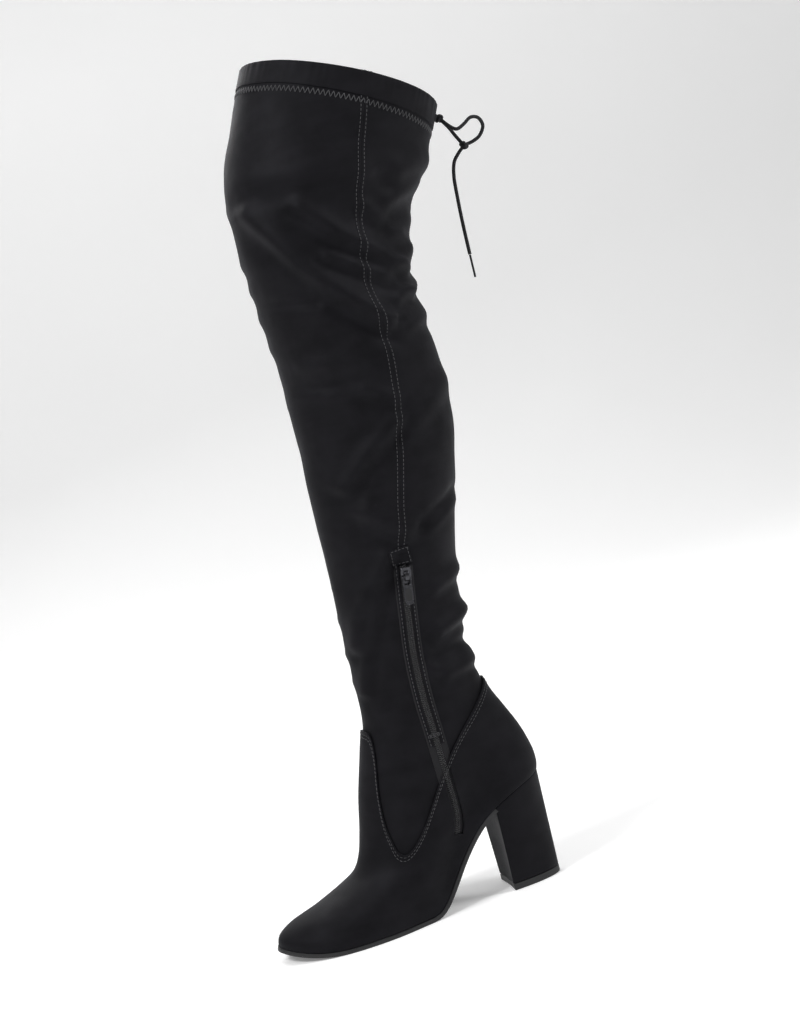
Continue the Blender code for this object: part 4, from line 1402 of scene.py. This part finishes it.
# Sole, insole, heel and top lift
sole = {
    "margin": 2.4 * mm,
    "round": 0.5 * mm,
    "firstTurn": 0.02,        # the sheets stop a little short of the outline's front and back tips
    "lastTurn": 0.05,
    "rowPower": 1.15,
    "rows": 90,
    "strips": 18,
    "insoleInset": 2.3 * mm,
    "insoleThickness": 2.4 * mm,
    "gap": 0.35 * mm,
}
heel = {
    "margin": 1.7 * mm,
    "tipWidth": 42 * mm,
    "tipSquareness": 0.85,
    "breastHollow": 2.2 * mm,
    "tipHollow": 0.9 * mm,
    "liftThickness": 5 * mm,
    "sidePoints": 22,
    "breastPoints": 14,
    "rings": 22,
    "round": 0.8 * mm,
    "liftRound": 0.45 * mm,
}


def outlinePlaces(turn, margin):
    plain = plainSkin(np.zeros_like(turn), turn)
    across = plain[..., 0] + margin * np.sin(turn)
    forward = heelLength / 2 - plain[..., 1] + margin * np.cos(turn)
    return across, forward


# The turn at which the sole's outline passes a forward place
def turnAt(target, margin):
    low, high = 0.0, pi
    for _ in range(40):
        middle = (low + high) / 2
        if float(outlinePlaces(np.array([middle]), margin)[1][0]) > target:
            low = middle
        else:
            high = middle
    return (low + high) / 2


def bedSheet(name, lastTurn, margin, gap):
    first = sole["firstTurn"]
    turns = np.linspace(0.0, 1.0, sole["rows"]) ** sole["rowPower"] * (lastTurn - first) + first
    inner, forward = outlinePlaces(turns, margin)
    outer, _ = outlinePlaces(2 * pi - turns, margin)
    shares = (1 - np.cos(np.linspace(0, pi, sole["strips"] + 1))) / 2
    across = mix(outer[:, None], inner[:, None], shares[None, :])
    ahead = np.repeat(forward[:, None], len(shares), 1)
    grid = worldPoint(across, ahead, heightOverBed(ahead, gap))
    return gridMesh(name, grid[:, ::-1])


def makeSole():
    lastTurn = turnAt(heelLength + sole["gap"], sole["margin"])
    mesh = bedSheet("outsoleRubber", lastTurn, sole["margin"], 0.0)
    piece = addPiece("outsoleRubber", mesh, rubber, "black_rubber", "outsole")
    thicken(piece, skinSizes["soleThickness"], 1 if mesh.polygons[0].normal.z < 0 else -1)
    roundEdges(piece, sole["round"], 2, 60)
    mesh = bedSheet("insoleSock", pi - sole["lastTurn"], -sole["insoleInset"], sole["gap"])
    piece = addPiece("insoleSock", mesh, lining, "black_lining", "insole")
    thicken(piece, sole["insoleThickness"], -1 if mesh.polygons[0].normal.z < 0 else 1)


def heelRing(drop):
    rim = []
    turns = np.linspace(turnAt(heelLength, heel["margin"]), pi, heel["sidePoints"] + 1)
    for side in (1, -1):
        half = []
        for i, turn in enumerate(turns):
            angle = turn if side == 1 else 2 * pi - turn
            seatAcross, seatForward = outlinePlaces(np.array([angle]), heel["margin"])
            quarter = (1 - i / heel["sidePoints"]) * pi / 2
            tipForward = heelLength * (1 - cos(quarter))
            tipAcross = side * heel["tipWidth"] / 2 * sin(quarter) ** heel["tipSquareness"]
            across = mix(float(seatAcross[0]), tipAcross, drop)
            forward = mix(float(seatForward[0]), tipForward, drop)
            up = mix(float(bedHeight(seatForward[0])), heel["liftThickness"] + sole["gap"], drop)
            half.append((across, heelLength / 2 - forward, up))
        rim += half if side == 1 else half[::-1][1:]
    hollow = heel["breastHollow"] * sin(pi * drop) + heel["tipHollow"] * drop
    inner, outer = np.array(rim[0]), np.array(rim[-1])
    for column in range(1, heel["breastPoints"]):
        share = column / heel["breastPoints"]
        point = mix(outer, inner, share)
        point[1] += hollow * sin(pi * share)
        rim.append(tuple(point))
    return np.array(rim)


def closedRings(name, rings):
    mesh = gridMesh(name, rings, closed=True)
    edit = bmesh.new()
    edit.from_mesh(mesh)
    edit.verts.ensure_lookup_table()
    count = rings.shape[1]
    for start in (0, (len(rings) - 1) * count):
        edit.faces.new([edit.verts[start + i] for i in range(count)])
    return closeEdit(edit, mesh)


def makeHeel():
    rings = np.stack([heelRing(float(drop)) for drop in np.linspace(1.0, 0.0, heel["rings"])], 0)
    piece = addPiece("heelWrap", closedRings("heelWrap", rings), heelSuede, "black_suede", "heel")
    roundEdges(piece, heel["round"], 3, 55)
    slab = np.stack([rings[0], rings[0]], 0)
    slab[0, :, 2], slab[1, :, 2] = 0.0, heel["liftThickness"]
    piece = addPiece("heelLift", closedRings("heelLift", slab), rubber, "black_rubber", "top_lift")
    roundEdges(piece, heel["liftRound"], 3, 55)


makeSole()
makeHeel()
print("sole and heel made")

# Floor and studio light
studio = {
    "floorTone": 0.92,
    "floorGlow": 0.17,
    "worldLight": 0.22,
    "floorFront": 4.5,
    "floorMiddle": 1.0,
    "floorBack": -1.6,
    "bendRadius": 1.2,
    "bendSteps": 24,
    "wallTop": 5.0,
    "halfWidth": 6.0,
    "floorDrop": 0.0002,
    "aim": (0, -0.02, 0.33),
    "lamps": (
        # place, size, watts
        ((0.80, -1.45, 1.80), 0.7, 34),
        ((0.75, 1.55, 1.40), 0.7, 20),
        ((-1.6, -0.4, 1.5), 1.0, 14),
        ((0.3, 0.1, 2.6), 1.2, 10),
    ),
}


def makeStudio():
    finish = Finish("paleFloor")
    tone, pale = studio["floorTone"], studio["floorTone"] * 1.04
    finish.set(
        Base_Color=finish.blend(finish.speckle(3.0), colour(tone, tone, tone), colour(pale, pale, pale)),
        Roughness=0.85,
        Emission_Color=colour(1, 1, 1),
        Emission_Strength=studio["floorGlow"],
    )
    back, radius = studio["floorBack"], studio["bendRadius"]
    profile = [(studio["floorFront"], 0.0), (studio["floorMiddle"], 0.0)]
    for i in range(studio["bendSteps"] + 1):
        bend = pi / 2 * i / studio["bendSteps"]
        profile.append((back - radius * sin(bend), radius * (1 - cos(bend))))
    profile.append((back - radius, studio["wallTop"]))
    sides = (-studio["halfWidth"], studio["halfWidth"])
    grid = np.array([[(x, y, z - studio["floorDrop"]) for x, z in profile] for y in sides])
    floor = putInScene("floor", gridMesh("floor", grid))
    floor.data.materials.append(finish.material)
    world = bpy.data.worlds.new("studio")
    bpy.context.scene.world = world
    world.use_nodes = True
    background = world.node_tree.nodes["Background"]
    background.inputs["Color"].default_value = colour(1, 1, 1)
    background.inputs["Strength"].default_value = studio["worldLight"]
    bpy.context.scene.view_settings.view_transform = "Standard"
    for i, (place, size, watts) in enumerate(studio["lamps"]):
        lamp = bpy.data.lights.new(f"lamp{i}", "AREA")
        lamp.size = size
        lamp.energy = watts
        holder = putInScene(lamp.name, lamp)
        holder.location = place
        holder.rotation_euler = (Vector(place) - Vector(studio["aim"])).to_track_quat("Z", "Y").to_euler()


makeStudio()
print("studio made")
